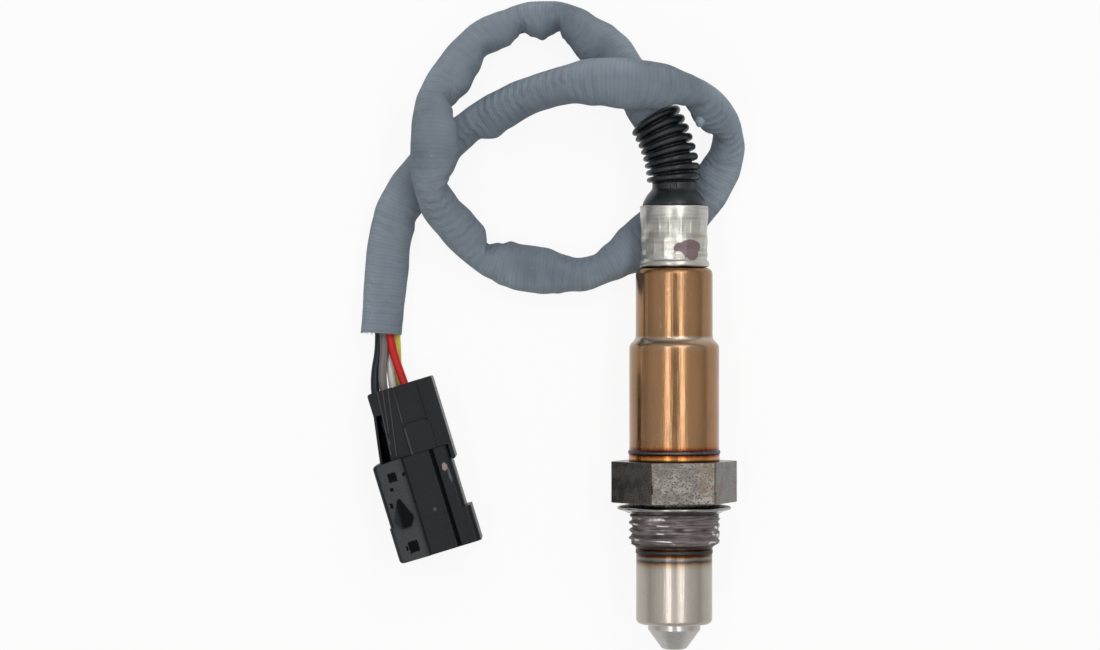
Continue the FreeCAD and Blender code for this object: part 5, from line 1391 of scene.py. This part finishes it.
hood_bm = moulding_of("connector_hood")
left_rim = [edge for edge in end_rim(hood_bm) if max(vertex.co.x for vertex in edge.verts) < -8.45 * MM]
round_off(hood_bm, left_rim, 0.75, 4)
right_corners = [edge for edge in outer_edges(hood_bm) if rise(edge, 2) > 9 and edge.verts[0].co.x > 5 * MM]
round_off(hood_bm, right_corners, 0.75, 4)
round_off(hood_bm, end_rim(hood_bm), 0.2, 2)
roof_edges = [edge for edge in outer_edges(hood_bm) if rise(edge, 1) > 3 and on_hood_roof(edge)]
round_off(hood_bm, roof_edges, 0.18, 2)
hood_nylon = moulded_nylon("black_nylon_housing", True)
placed_moulding("moulded_hood", hood_bm, "connector_hood", hood_nylon)

cover_bm = moulding_of("connector_wire_cover")
for vertex in cover_bm.verts:
    if abs(vertex.co.y / MM - COVER_END) < 0.05:
        vertex.co.y -= COVER_GAP * MM
cover_corners = [edge for edge in outer_edges(cover_bm) if edge.calc_length() > 9 * MM and rise(edge, 2) > 9]
round_off(cover_bm, cover_corners, 0.4, 3)
cover_top = [
    edge
    for edge in outer_edges(cover_bm)
    if edge.calc_length() > 1.2 * MM and min(vertex.co.z for vertex in edge.verts) > 5.0 * MM
]
round_off(cover_bm, cover_top, 0.08, 2)
# The little hook that holds the wires down in the window
hook_shape = Matrix.Translation((HOOK_PLACE[0] * MM, HOOK_PLACE[1] * MM, 4.9 * MM))
hook_shape @= Matrix.Diagonal((0.45 * MM, 1.6 * MM, 0.9 * MM, 1))
bmesh.ops.create_cube(cover_bm, size=1, matrix=hook_shape)
cover_nylon = moulded_nylon("black_nylon_cover", False)
placed_moulding("moulded_wire_cover", cover_bm, "connector_wire_cover", cover_nylon)
dress(cover_nylon, "terminal_lock")


# Table and light: a pale table that keeps a soft shadow, a light room, one large soft lamp overhead and
# two narrow ones along the sensor's axis, which draw the two bright lines on its round metal.
floor_bm = bmesh.new()
floor_place = Matrix.Translation((0, 0, TABLE))
bmesh.ops.create_grid(floor_bm, x_segments=8, y_segments=8, size=2.0, matrix=floor_place)
pale, tree, shader, spot = new_material("pale_table", Roughness=0.9, Specular_IOR_Level=0.1)
tint = noise_at(tree, spot, 3.0, 2.0)
set_finish(tree, shader, blend(tree, tint, rgb(0.86, 0.86, 0.86), rgb(0.88, 0.88, 0.875)))
glow = put(tree, "Emission", {"Color": rgb(1, 1, 1), "Strength": 1.0})
path = put(tree, "LightPath")
seen = sums(tree, "MAXIMUM", path.outputs["Is Camera Ray"], path.outputs["Is Glossy Ray"])
mixed = put(tree, "MixShader", {0: times(tree, seen, 0.90), 1: shader.outputs[0], 2: glow.outputs[0]})
tree.links.new(mixed.outputs[0], tree.nodes["Material Output"].inputs["Surface"])
floor = in_scene("table_top", floor_bm, pale)

world = bpy.data.worlds.new("light_room")
world.use_nodes = True
bpy.context.scene.world = world
tree = world.node_tree
path = put(tree, "LightPath")
seen = sums(tree, "MAXIMUM", path.outputs["Is Camera Ray"], path.outputs["Is Transmission Ray"])
overhead = put(tree, "SeparateXYZ", {0: put(tree, "TexCoord").outputs["Generated"]}).outputs[2]
room = scaled(tree, stepped(tree, overhead, 0.0, 0.6), 0.35, 0.50)
room = scaled(tree, stepped(tree, overhead, 0.970, 0.996), -0.45, room)
level = sums(tree, "MAXIMUM", times(tree, path.outputs["Is Glossy Ray"], room), 0.28)
level = sums(tree, "MAXIMUM", seen, level)
tree.links.new(level, tree.nodes["Background"].inputs["Strength"])
tree.nodes["Background"].inputs["Color"].default_value = rgb(1, 1, 1)

bpy.context.scene.view_settings.view_transform = "Standard"
LIT_PLACE = (0, 0.03, 0)


def soft_lamp(name, place, size, power):
    """A rectangular lamp that shines on the middle of the sensor."""
    lamp = bpy.data.lights.new(name, "AREA")
    lamp.shape = "RECTANGLE"
    lamp.size, lamp.size_y = size
    lamp.energy = power
    holder = bpy.data.objects.new(name, lamp)
    towards = (Vector(place) - Vector(LIT_PLACE)).to_track_quat("Z", "X")
    holder.matrix_world = Matrix.Translation(place) @ towards.to_matrix().to_4x4()
    bpy.context.scene.collection.objects.link(holder)


for name, side in (("lamp_left_strip", -1), ("lamp_right_strip", 1)):
    soft_lamp(name, (side * 0.30, 0.03, 0.90), (0.15, 1.2), 2.4)
soft_lamp("lamp_wide", (0.35, 0.8, 1.1), (0.9, 0.9), 4.0)
